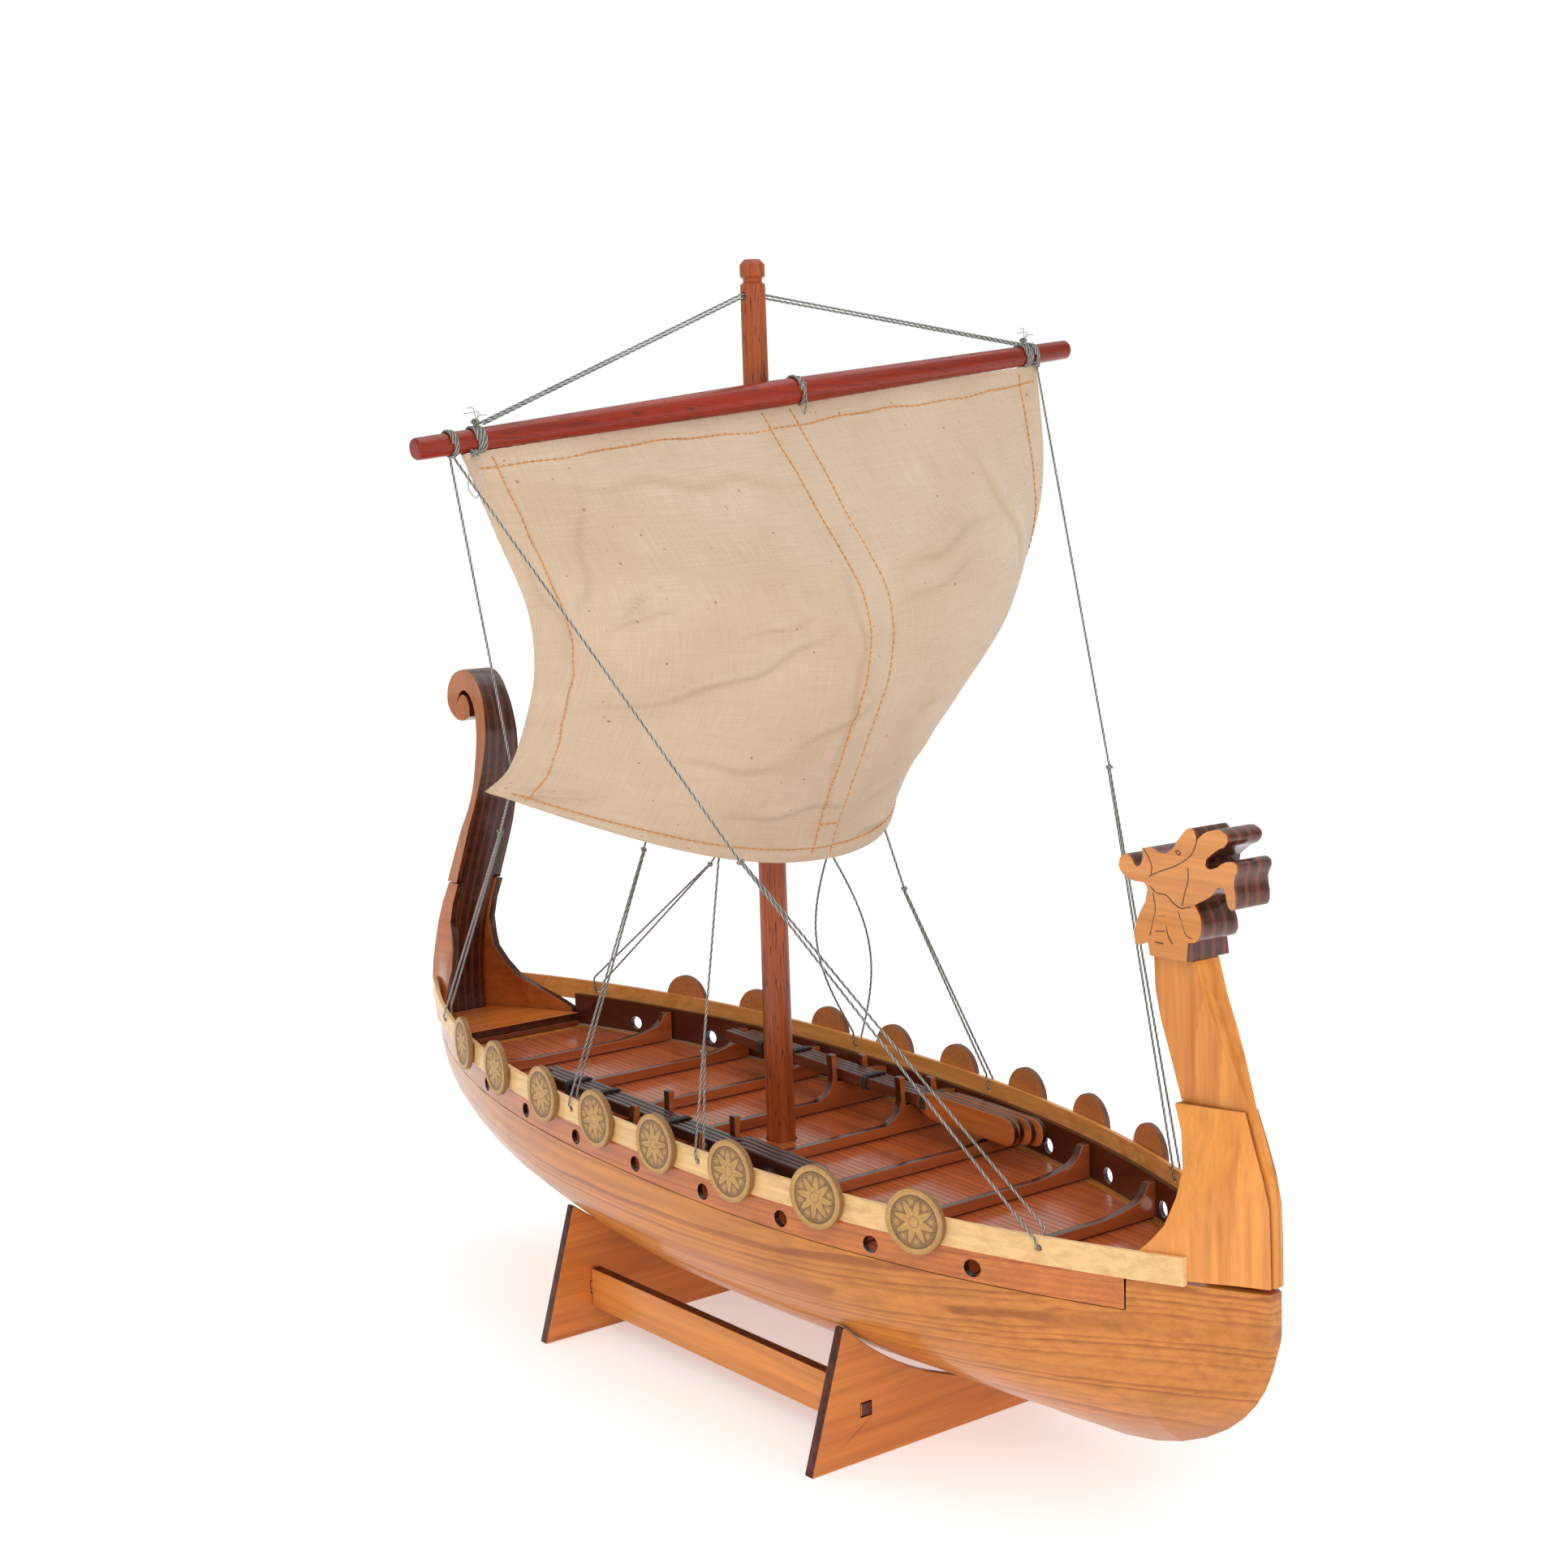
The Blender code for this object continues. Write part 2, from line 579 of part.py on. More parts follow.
def stem_half(x, z):
    """Half thickness of the stem at x, z: a wedge that gets sharper downwards."""
    aft, fore = table(z, STEM_AFT), table(z, STEM_FORE)
    share = min(max((x - aft) / (fore - aft), 0.0), 1.0)
    return STEM_AFT_HALF + (table(z, STEM_EDGE) - STEM_AFT_HALF) * share


def make_stem():
    """The neck and stem in one piece, from the bow block up to the head."""
    rings = []
    base = bow_block_top(STEM_X - 20 * MM) + GAP + 0.8 * MM
    for z in [base] + [h * MM for h in (88, 100, 107, 115, 120, 126, 133, 139, 147, 155)]:
        rings.append(stem_ring(z))
    rings.append(stem_ring(HEAD_BASE_Z - GAP))
    loft("bow_stem", rings, PINE)


def stem_ring(z):
    aft, fore = table(z, STEM_AFT), table(z, STEM_FORE)
    middle = (aft + fore) / 2
    ring = [Vector((x, stem_half(x, z), z)) for x in (aft, middle, fore)]
    return ring + [Vector((p.x, -p.y, z)) for p in reversed(ring)]


def make_bow_cheeks():
    """The two cheek boards that lead the planking up onto the neck."""
    rows = [bow_block_top(BOW_BLOCK_X) + GAP + 0.1 * MM]
    rows += [h * MM for h in (81, 84, 88, 93, 101, 109, 118)] + [BOW_CHEEK_TOP_Z]
    for side, word in ((-1, "starboard"), (1, "port")):
        outer, inner = [], []
        for z in rows:
            aft = table(z, BOW_CHEEK_AFT)
            fore = table(z, STEM_FORE) - 0.7 * MM
            rise = smooth((z - 84 * MM) / (BOW_CHEEK_TOP_Z - 84 * MM))
            out_row, in_row = [], []
            for share in steps(0, 1, 6):
                x = aft + (fore - aft) * share
                thickness = CHEEK_THICKNESS * (1 - 0.8 * share)
                on_stem = stem_half(x, z) + GAP + thickness
                width = max(half_breadth(x) * (1 - rise) + on_stem * rise, on_stem)
                out_row.append(Vector((x, side * width, z)))
                in_row.append(Vector((x, side * (width - thickness), z)))
            outer.append(out_row)
            inner.append(in_row)
        board("bow_cheek_" + word, outer, inner, PLY)


def make_head():
    """The beast's head, sawn from thick board: curled snout, brow, crest and gills."""
    outline = [
        (168.6, 189.3, "round"), (171.0, 191.8, "round"), (173.4, 191.0, "round"),
        (175.4, 188.7, "round"), (177.4, 190.6, "round"), (177.6, 194.0, "corner"),
        (181.0, 194.6, "round"), (184.6, 193.3, "round"), (188.4, 194.8, "round"),
        (191.5, 198.6, "round"), (195.6, 201.2, "round"), (197.6, 198.4, "corner"),
        (201.0, 200.8, "round"), (207.6, 200.8, "round"), (208.0, 198.4, "round"),
        (203.7, 195.6, "round"), (200.4, 191.6, "round"), (202.6, 190.9, "round"),
        (207.6, 193.4, "round"), (211.3, 192.9, "round"), (210.2, 188.4, "round"),
        (210.8, 183.0, "round"), (209.6, 180.6, "round"), (208.0, 181.8, "round"),
        (206.2, 186.4, "round"), (202.0, 183.4, "round"), (196.6, 180.6, "corner"),
        (199.0, 176.0, "round"), (198.2, 171.2, "round"), (194.8, 170.0, "corner"),
        (194.9, HEAD_BASE_Z / MM, "corner"), (181.5, HEAD_BASE_Z / MM, "corner"),
        (180.2, 168.6, "corner"), (176.2, 167.6, "round"), (175.4, 173.0, "round"),
        (179.2, 183.0, "round"), (178.0, 184.6, "corner"), (173.0, 184.8, "round"),
        (169.2, 187.0, "round")]
    points = [((u + 1.2) * MM, v * MM, kind) for u, v, kind in outline]
    head = as_mesh(upright_profile("dragon_head", points, HEAD_THICKNESS, PLY, 3))
    taper(head, HEAD_THICKNESS, [(HEAD_BASE_Z, HEAD_BASE_THICKNESS),
                                 (HEAD_BASE_Z + 13 * MM, HEAD_THICKNESS)])


# ---- stern ---------------------------------------------------------------------------------------------
STERN_CHEEK_FORE = [(z * MM, x * MM) for z, x in (
    (80, -171.7), (88, -171.7), (92.5, -180), (95.3, -185.5), (100.5, -192.3), (113, -198.5),
    (125, -200.3), (133, -197.5), (141.5, -192.5))]
STERN_CHEEK_AFT = [(z * MM, x * MM) for z, x in (
    (80, -214.3), (91, -216.6), (101, -217.7), (108, -216.3), (119, -212.5), (127, -209.2),
    (135, -204.8), (141.5, -200.0))]


def make_stern_post():
    """The curved stern post with its scroll, rebated each side for the cheeks."""
    outline = [
        (-206.0, 83.4, "corner"), (-206.4, 100.0, "round"), (-203.4, 120.0, "round"),
        (-194.6, 141.0, "round"), (-185.6, 158.4, "round"), (-175.4, 181.0, "round"),
        (-171.0, 199.0, "round"), (-171.8, 210.6, "round"), (-175.0, 219.0, "round"),
        (-182.4, 226.4, "round"), (-191.4, 226.8, "round"), (-199.0, 222.2, "round"),
        (-201.0, 215.0, "round"), (-196.8, 209.4, "round"), (-189.0, 207.0, "round"),
        (-183.0, 209.0, "corner"), (-184.4, 214.6, "round"), (-189.2, 217.4, "round"),
        (-193.6, 214.0, "corner"), (-189.6, 219.0, "round"), (-182.8, 216.4, "round"),
        (-178.6, 208.0, "round"), (-178.4, 190.0, "round"), (-181.4, 176.0, "round"),
        (-190.0, 161.4, "round"), (-205.0, 134.9, "round"), (-213.6, 116.0, "round"),
        (-217.5, 101.2, "round"), (-214.6, 83.4, "corner")]
    points = [(u * MM, v * MM, kind) for u, v, kind in outline]
    post = as_mesh(upright_profile("stern_post", points, POST_THICKNESS, PLY, 3))
    taper(post, POST_THICKNESS, [(SHOULDER_Z, POST_THICKNESS), (SCROLL_Z, SCROLL_THICKNESS)])
    depth = CHEEK_THICKNESS + GAP
    for side in (-1, 1):
        middle = side * (POST_THICKNESS / 2 - depth / 2 + 2 * MM)
        rebate = block(f"cheek_rebate_{side + 2}", (-200 * MM, middle, 109 * MM),
                       (60 * MM, depth + 4 * MM, 2 * (STERN_CHEEK_TOP_Z + GAP - 109 * MM)),
                       DARK_WOOD, CUTS)
        as_cutter(rebate)
        cut(post, rebate)


def taper(obj, full, rows):
    """Thin an upright board about its middle plane by (height, thickness) rows."""
    flat = obj.matrix_world
    back = flat.inverted()
    for vertex in obj.data.vertices:
        spot = flat @ vertex.co
        spot.y *= table(spot.z, rows) / full
        vertex.co = back @ spot


def make_stern_cheeks():
    """The two cheek boards that sweep from the bulwarks up onto the stern post."""
    for side, word in ((-1, "starboard"), (1, "port")):
        outer, inner = [], []
        for level in (0.0, 88.0, 90.5, 92.5, 95.3, 100.5, 107.0, 113.0, 119.0, 125.0, 133.0):
            outer.append([])
            inner.append([])
            for share in steps(0, 1, 7):
                add_cheek_point(outer[-1], inner[-1], side, level * MM, share)
        outer.append([])
        inner.append([])
        for share in steps(0, 1, 7):
            add_cheek_point(outer[-1], inner[-1], side, STERN_CHEEK_TOP_Z, share)
        board("stern_cheek_" + word, outer, inner, PLY)


def add_cheek_point(out_row, in_row, side, level, share):
    """One point of the outer and inner face; level 0 stands for the hull top."""
    z = level or 84 * MM
    aft, fore = table(z, STERN_CHEEK_AFT), table(z, STERN_CHEEK_FORE)
    x = aft + (fore - aft) * share
    if not level:
        z = hull_top(x) + GAP
    rise = smooth((z - 90 * MM) / (28 * MM))
    on_post = POST_THICKNESS / 2 + GAP
    width = max(half_breadth(x) * (1 - rise) + on_post * rise, on_post)
    out_row.append(Vector((x, side * width, z)))
    in_row.append(Vector((x, side * (width - CHEEK_THICKNESS), z)))


# ---- mast, yard, sail --------------------------------------------------------------------------------------
def mast_radius(z):
    foot = hull_top(MAST_X)
    return MAST_FOOT_RADIUS + (MAST_HEAD_RADIUS - MAST_FOOT_RADIUS) * max(z - foot, 0) / (
        MAST_TOP_Z - foot)


def make_mast():
    """The tapered mast with a grooved head and two cross holes for the lines."""
    top, foot = MAST_TOP_Z, hull_top(MAST_X) - MAST_SOCKET_DEPTH
    head = MAST_HEAD_RADIUS
    profile = [(0, top), (head - 1.4 * MM, top), (head, top - 1.6 * MM), (head, top - 5.4 * MM),
               (head - 1 * MM, top - 6.2 * MM), (head - 1 * MM, top - 7.2 * MM),
               (head, top - 8 * MM), (MAST_FOOT_RADIUS, foot), (0, foot)]
    mast = turned("mast", profile, SPAR, 18)
    mast.location = (MAST_X, 0, 0)
    reach = MAST_FOOT_RADIUS + 3 * MM
    for name, z in (("lift_hole", LIFT_HOLE_Z), ("shroud_hole", SHROUD_HOLE_Z)):
        cut(mast, rod(name, (MAST_X, -reach, z), (MAST_X, reach, z), MAST_HOLE_DIAMETER / 2))


def yard_point(y, forward=0.0, up=0.0):
    """A point at y along the yard, moved forward and up from its centre line."""
    x = yard_centre_x() + forward
    return Vector((x, y * math.cos(YARD_TILT) - up * math.sin(YARD_TILT),
                   YARD_CENTRE_Z + y * math.sin(YARD_TILT) + up * math.cos(YARD_TILT)))


def yard_centre_x():
    return MAST_X + mast_radius(YARD_CENTRE_Z) + GAP + YARD_RADIUS


def yard_radius(y):
    return YARD_RADIUS + (YARD_END_RADIUS - YARD_RADIUS) * abs(y) / (YARD_LENGTH / 2)


def make_yard():
    """The yard, thickest in the middle, lying across the fore side of the mast."""
    half = YARD_LENGTH / 2
    profile = [(0, half), (YARD_END_RADIUS - 0.5 * MM, half), (YARD_END_RADIUS, half - 0.6 * MM),
               (YARD_RADIUS, 0), (YARD_END_RADIUS, 0.6 * MM - half),
               (YARD_END_RADIUS - 0.5 * MM, -half), (0, -half)]
    yard = turned("yard", profile, SPAR, 18)
    yard.location = (yard_centre_x(), 0, YARD_CENTRE_Z)
    yard.rotation_euler = (YARD_TILT - math.radians(90), 0, 0)


def rail(points, v):
    """A smooth curve through evenly spaced points, read at v from 0 to 1."""
    place_at = min(max(v, 0.0), 0.9999) * (len(points) - 1)
    i = int(place_at)
    t = place_at - i
    rows = [Vector(points[min(max(i + d, 0), len(points) - 1)]) for d in (-1, 0, 1, 2)]
    p0, p1, p2, p3 = rows
    return (p1 + (p2 - p0) * 0.5 * t + (p0 - p1 * 2.5 + p2 * 2 - p3 * 0.5) * t * t
            + (p1 * 1.5 - p2 * 1.5 + p3 * 0.5 - p0 * 0.5) * t * t * t) * MM


def sail_point(u, v):
    """The sail's middle surface: u from -1 (starboard) to 1 (port), v from head to foot.

    Between the leech and the centre seam the belly follows 1 - |u| ** n, n growing
    from 2.2 at the head to 3 at the foot.
    """
    edge, centre = rail(PORT_LEECH if u > 0 else STARBOARD_LEECH, v), rail(SAIL_SEAM, v)
    out = abs(u)
    belly = 1 - out ** (2.2 + 0.8 * v)
    drop = 1 - out ** (1 + v)
    return Vector((edge.x + (centre.x - edge.x) * belly, centre.y + (edge.y - centre.y) * out,
                   edge.z + (centre.z - edge.z) * drop))


def make_sail():
    """The square sail, hung under the yard and full of wind."""
    rows, columns = 12, 14
    outer, inner = [], []
    for r in range(rows + 1):
        out_row, in_row = [], []
        for c in range(columns + 1):
            u, v = -1 + 2 * c / columns, r / rows
            point = sail_point(u, v)
            du = sail_point(min(u + 0.02, 1), v) - sail_point(max(u - 0.02, -1), v)
            dv = sail_point(u, min(v + 0.02, 1)) - sail_point(u, max(v - 0.02, 0))
            normal = dv.cross(du).normalized()
            out_row.append(point + normal * SAIL_THICKNESS / 2)
            in_row.append(point - normal * SAIL_THICKNESS / 2)
        outer.append(out_row)
        inner.append(in_row)
    board("sail", outer, inner, CANVAS)


# ---- oars ----------------------------------------------------------------------------------------------------
def make_oars():
    """Two pairs of oars a side, laid on edge in the forks."""
    for side, word in ((-1, "starboard"), (1, "port")):
        for i, place_word in enumerate(("inner", "outer")):
            offset = (OAR_PAIR_THICKNESS + GAP) * (i - 0.5)
            name = f"oars_{word}_{place_word}"
            shift = (-6 * MM, 0.0)[i]
            base = [(x, gunwale(x) - OAR_SLOT_DROP + 2 * GAP) for x in (OAR_AFT_X, OAR_FORE_X)]
            aft, fore = base[0][0] + shift, base[1][0] + shift
            neck = fore - OAR_BLADE_LENGTH
            fall = -SHEER_SLOPE

            def level(x, rise):
                return base[0][1] + fall * (x - base[0][0]) + rise

            top = OAR_SHAFT_HEIGHT + OAR_BLADE_RISE
            low = top - OAR_BLADE_HEIGHT
            outline = [
                (aft, level(aft, 0), "corner"), (aft, level(aft, OAR_SHAFT_HEIGHT), "corner"),
                (neck, level(neck, OAR_SHAFT_HEIGHT), "corner"),
                (neck + 9 * MM, level(neck, top), "corner"),
                (fore - 5 * MM, level(fore, top), "corner"),
                (fore - 1.5 * MM, level(fore, top - 2.5 * MM), "round"),
                (fore, level(fore, (top + low) / 2), "round"),
                (fore - 1.5 * MM, level(fore, low + 2.5 * MM), "round"),
                (fore - 5 * MM, level(fore, low), "corner"),
                (neck + 9 * MM, level(neck, low), "corner"),
                (neck, level(neck, 0), "corner")]
            oar = upright_profile(name, outline, OAR_PAIR_THICKNESS, OAR_WOOD, 3)
            oar.location = (0, side * (OAR_MIDDLE_Y + offset), 0)


# ---- lines -----------------------------------------------------------------------------------------------------
def strand(start, end, count):
    return [start.lerp(end, i / count) for i in range(count + 1)]


def hole_turn(side, x):
    """The bend of a line round the rail: outside, through the strip's hole, inside."""
    wall = half_breadth(x)
    z = gunwale(x) - LINE_HOLE_DROP
    clear = LINE_DIAMETER / 2 + 0.35 * MM
    out_y = side * (wall + GAP + STRIP_THICKNESS + clear)
    in_y = side * (wall - clear)
    return [Vector((x, out_y, z + 2.4 * MM)), Vector((x, out_y, z + 0.9 * MM)),
            Vector((x, side * (wall + GAP + STRIP_THICKNESS), z + 0.1 * MM)),
            Vector((x, side * (wall + GAP), z + 0.1 * MM)),
            Vector((x, in_y, z + 0.9 * MM)), Vector((x, in_y, z + 2.4 * MM)),
            Vector((x, in_y, z + LINE_HOLE_DROP + 2 * MM))]


def doubled_line(name, start, kinks, side, hole_x, slack=Vector()):
    """A line from start by its kinks to the last of them, the knot, then doubled.

    One strand goes down outside the rail and through its hole, the other back up inside.
    """
    turn = hole_turn(side, hole_x)
    knots = [start] + [Vector(p) * MM for p in kinks]
    knot = knots[-1]
    back = knot + Vector((0, -side * 0.75 * LINE_DIAMETER, 0))
    route = [start]
    for low, high in zip(knots, knots[1:]):
        route += strand(low, high, 3)[1:]
    route += bowed(knot, turn[0], slack)[1:-1] + turn + bowed(turn[-1], back, -slack)[1:]
    return line(name, route)


def bowed(start, end, slack):
    """A strand that bows out by its slack."""
    count = 8 if slack.length else 4
    return [p + slack * math.sin(math.pi * i / count)
            for i, p in enumerate(strand(start, end, count))]


def make_lines():
    """Lifts, braces and shrouds."""
    for name, offset, tie in (("lift_upper", 0.55, 0.0), ("lift_lower", -0.55, 3.0)):
        route = []
        for side in (-1, 1):
            reach = LASHING_REACH - tie * MM
            up = yard_radius(reach) + GAP + LINE_DIAMETER / 2
            tied = yard_point(side * reach, 0, up)
            mouth = Vector((MAST_X, side * (MAST_HEAD_RADIUS + 0.6 * MM),
                            LIFT_HOLE_Z + offset * MM))
            part = strand(tied, mouth, 6)
            route += part if side < 0 else part[::-1]
        line(name, route)
    for side, word in ((-1, "starboard"), (1, "port")):
        up = -(yard_radius(LASHING_REACH) + GAP + LINE_DIAMETER / 2)
        reach, forward = (value * MM for value in BRACE_TIE[word])
        holes = LINE_HOLE_X[word]
        fore = yard_point(side * reach, forward, up)
        aft = yard_point(side * reach, -forward, up)
        doubled_line(f"{word}_fore_brace", fore, [FORE_BRACE_KNOT[word]], side, holes[3])
        doubled_line(f"{word}_aft_brace", aft, AFT_BRACE_KNOTS[word], side, holes[0])
        lodge = mast_radius(SHROUD_HOLE_Z) + LINE_DIAMETER / 2 + GAP
        for part, offset, hole_x in (("fore", 0.7, holes[2]), ("aft", -0.7, holes[1])):
            start = Vector((MAST_X + offset * MM, side * lodge, SHROUD_HOLE_Z))
            doubled_line(f"{word}_{part}_shroud", start, [SHROUD_KNOTS[word, part]], side, hole_x,
                         Vector(SLACK_STRANDS.get((word, part), (0, 0, 0))) * MM)


# ---- stand ---------------------------------------------------------------------------------------------------------
def make_stand():
    """Two cradle plates and the two rails whose tenons pass through them."""
    for name, face in (("stand_front_plate", PLATE_FRONT_X), ("stand_rear_plate", PLATE_REAR_X)):
        middle = face - PLATE_THICKNESS / 2
        side = [(PLATE_HALF_BASE, 0.0), (HORN_HALF_SPAN + 0.9 * MM, cradle(middle, HORN_HALF_SPAN))]
        for y in steps(HORN_HALF_SPAN, 0, 10):
            side.append((y, cradle(middle, y)))
        outline = [(y, z, "corner") for y, z in side]
        outline += [(-y, z, "corner") for y, z in reversed(side[:-1])]
        plate = cross_profile(name, outline, PLATE_THICKNESS, middle, PLY, 1)
        plate = as_mesh(plate)
        for hand in (-1, 1):
            y = hand * (RAIL_OUTER_Y - RAIL_THICKNESS / 2)
            z = RAIL_BOTTOM_Z + RAIL_HEIGHT / 2
            size = (PLATE_THICKNESS + 4 * MM, RAIL_THICKNESS + 2 * GAP, TENON_HEIGHT + 2 * GAP)
            cutter = block(f"{name}_mortise_{hand + 2}", (middle, y, z), size, DARK_WOOD, CUTS)
            as_cutter(cutter)
            cut(plate, cutter)
    for hand, word in ((-1, "starboard"), (1, "port")):
        y = hand * (RAIL_OUTER_Y - RAIL_THICKNESS / 2)
        low, high = RAIL_BOTTOM_Z, RAIL_BOTTOM_Z + RAIL_HEIGHT
        tenon_low = (low + high - TENON_HEIGHT) / 2
        tenon_high = tenon_low + TENON_HEIGHT
        ends = (PLATE_REAR_X - PLATE_THICKNESS, PLATE_REAR_X + GAP,
                PLATE_FRONT_X - PLATE_THICKNESS - GAP, PLATE_FRONT_X)
        outline = [(ends[0], tenon_low), (ends[1], tenon_low), (ends[1], low), (ends[2], low),
                   (ends[2], tenon_low), (ends[3], tenon_low), (ends[3], tenon_high),
                   (ends[2], tenon_high), (ends[2], high), (ends[1], high),
                   (ends[1], tenon_high), (ends[0], tenon_high)]
        rail = upright_profile(f"stand_{word}_rail", [(u, v, "corner") for u, v in outline],
                               RAIL_THICKNESS, PLY, 1)
        rail.location = (0, y, 0)


def cradle(x, y):
    """Edge of the cradle under the hull at x, y."""
    reach = PLATE_THICKNESS / 2
    skin = min(section_height(x + d, y) for d in (-reach, 0, reach))
    return skin - CRADLE_CLEARANCE - CRADLE_RELIEF * smooth(1.35 * (1 - abs(y) / HORN_HALF_SPAN))


def block(name, centre, size, material, group=None):
    """A plain box."""
    mesh = bpy.data.meshes.new(name)
    work = bmesh.new()
    bmesh.ops.create_cube(work, size=1.0)
    bmesh.ops.scale(work, vec=size, verts=work.verts)
    work.to_mesh(mesh)
    work.free()
    obj = place(mesh, name, material, group)
    obj.location = centre
    return obj


def as_mesh(obj):
    """The same piece as a mesh, so that it can be cut."""
    bpy.context.view_layer.update()
    graph = bpy.context.evaluated_depsgraph_get()
    mesh = bpy.data.meshes.new_from_object(obj.evaluated_get(graph))
    work = bmesh.new()
    work.from_mesh(mesh)
    bmesh.ops.remove_doubles(work, verts=work.verts, dist=0.000005)
    work.to_mesh(mesh)
    work.free()
    name, matrix = obj.name, obj.matrix_world.copy()
    bpy.data.objects.remove(obj, do_unlink=True)
    new = bpy.data.objects.new(name, mesh)
    PARTS.objects.link(new)
    new.matrix_world = matrix
    return new


make_stand()
make_hull()
make_deck()
make_platform()
make_sides()
make_ribs()
make_stem()
make_bow_cheeks()
make_head()
make_stern_post()
make_stern_cheeks()
make_mast()
make_yard()
make_sail()
make_oars()
make_lines()
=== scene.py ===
"""Finishes, cloth, cordage and light for a wooden longship model on its cradle stand.

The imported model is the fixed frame: +X to the bow, +Y to port, +Z up, metres, origin on the
table under the middle of the ship.  Sizes below are in millimetres unless a name says
otherwise, and meshes are scaled by MM as they are made.
"""
import logging
import math
from dataclasses import dataclass, field
from enum import Enum
from typing import Callable, Sequence, Union

import bpy
import numpy as np
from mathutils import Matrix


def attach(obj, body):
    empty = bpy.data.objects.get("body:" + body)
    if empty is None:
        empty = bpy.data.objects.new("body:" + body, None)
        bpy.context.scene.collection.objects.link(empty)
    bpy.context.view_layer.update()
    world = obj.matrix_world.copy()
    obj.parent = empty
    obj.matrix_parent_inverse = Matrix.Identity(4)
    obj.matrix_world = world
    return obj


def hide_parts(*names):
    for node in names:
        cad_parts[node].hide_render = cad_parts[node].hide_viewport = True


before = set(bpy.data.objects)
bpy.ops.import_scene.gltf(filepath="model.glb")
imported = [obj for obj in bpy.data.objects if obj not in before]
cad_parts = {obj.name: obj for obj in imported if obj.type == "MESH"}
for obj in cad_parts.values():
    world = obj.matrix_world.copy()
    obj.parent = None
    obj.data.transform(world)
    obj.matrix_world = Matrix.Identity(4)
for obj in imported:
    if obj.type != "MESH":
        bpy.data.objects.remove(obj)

log = logging.getLogger("longship")
MM = 0.001
FULL_TURN = 2 * math.pi
ZERO = (0.0, 0.0, 0.0)
ONE = (1.0, 1.0, 1.0)

Socket = bpy.types.NodeSocket
Feed = Union[Socket, float, tuple]
Triple = tuple[float, float, float]
Tone = tuple[int, int, int]


class Side(Enum):
    """Which side of the ship a piece is on."""

    STARBOARD = -1
    PORT = 1

    @property
    def word(self) -> str:
        """The side's name as it stands in node names."""
        return self.name.lower()


class Grain(Enum):
    """The direction that the wood fibres run in, as a turn that brings them to X."""

    ALONG_X = (0.0, 0.0, 0.0)
    ALONG_Y = (0.0, 0.0, math.pi / 2)
    ALONG_Z = (0.0, math.pi / 2, 0.0)


class Across(Enum):
    """The thickness direction of a sawn board, whose edges are burnt dark."""

    X = 0
    Y = 1
    Z = 2


# ---- lines of the hull, shared by several pieces ---------------------------------------

@dataclass(frozen=True)
class HullLines:
    """The curves of the hull that fittings follow, in millimetres."""

    half_beam: float = 61.3
    midship_x: float = 4.8
    bow_reach: float = 217.7
    stern_reach: float = 234.6
    bow_fullness: float = 2.3
    stern_fullness: float = 2.4
    deck_z: float = 75.2
    sheer_slope: float = 0.037
    gunwale_rise: float = 17.7

    def half_breadth(self, x: float) -> float:
        """Half breadth at x: a power curve each way from midship.

        Args:
            x: Place along the ship, in millimetres.

        Returns:
            Half the hull's width there, in millimetres.
        """
        if x > self.midship_x:
            share, power = (x - self.midship_x) / self.bow_reach, self.bow_fullness
        else:
            share, power = (self.midship_x - x) / self.stern_reach, self.stern_fullness
        return self.half_beam * (1 - min(share, 1) ** power)

    def hull_top(self, x: float) -> float:
        """Height of the deck at x."""
        return self.deck_z - self.sheer_slope * x

    def gunwale(self, x: float) -> float:
        """Height of the top of the rubbing strip at x."""
        return self.hull_top(x) + self.gunwale_rise


LINES = HullLines()


# ---- node materials --------------------------------------------------------------------

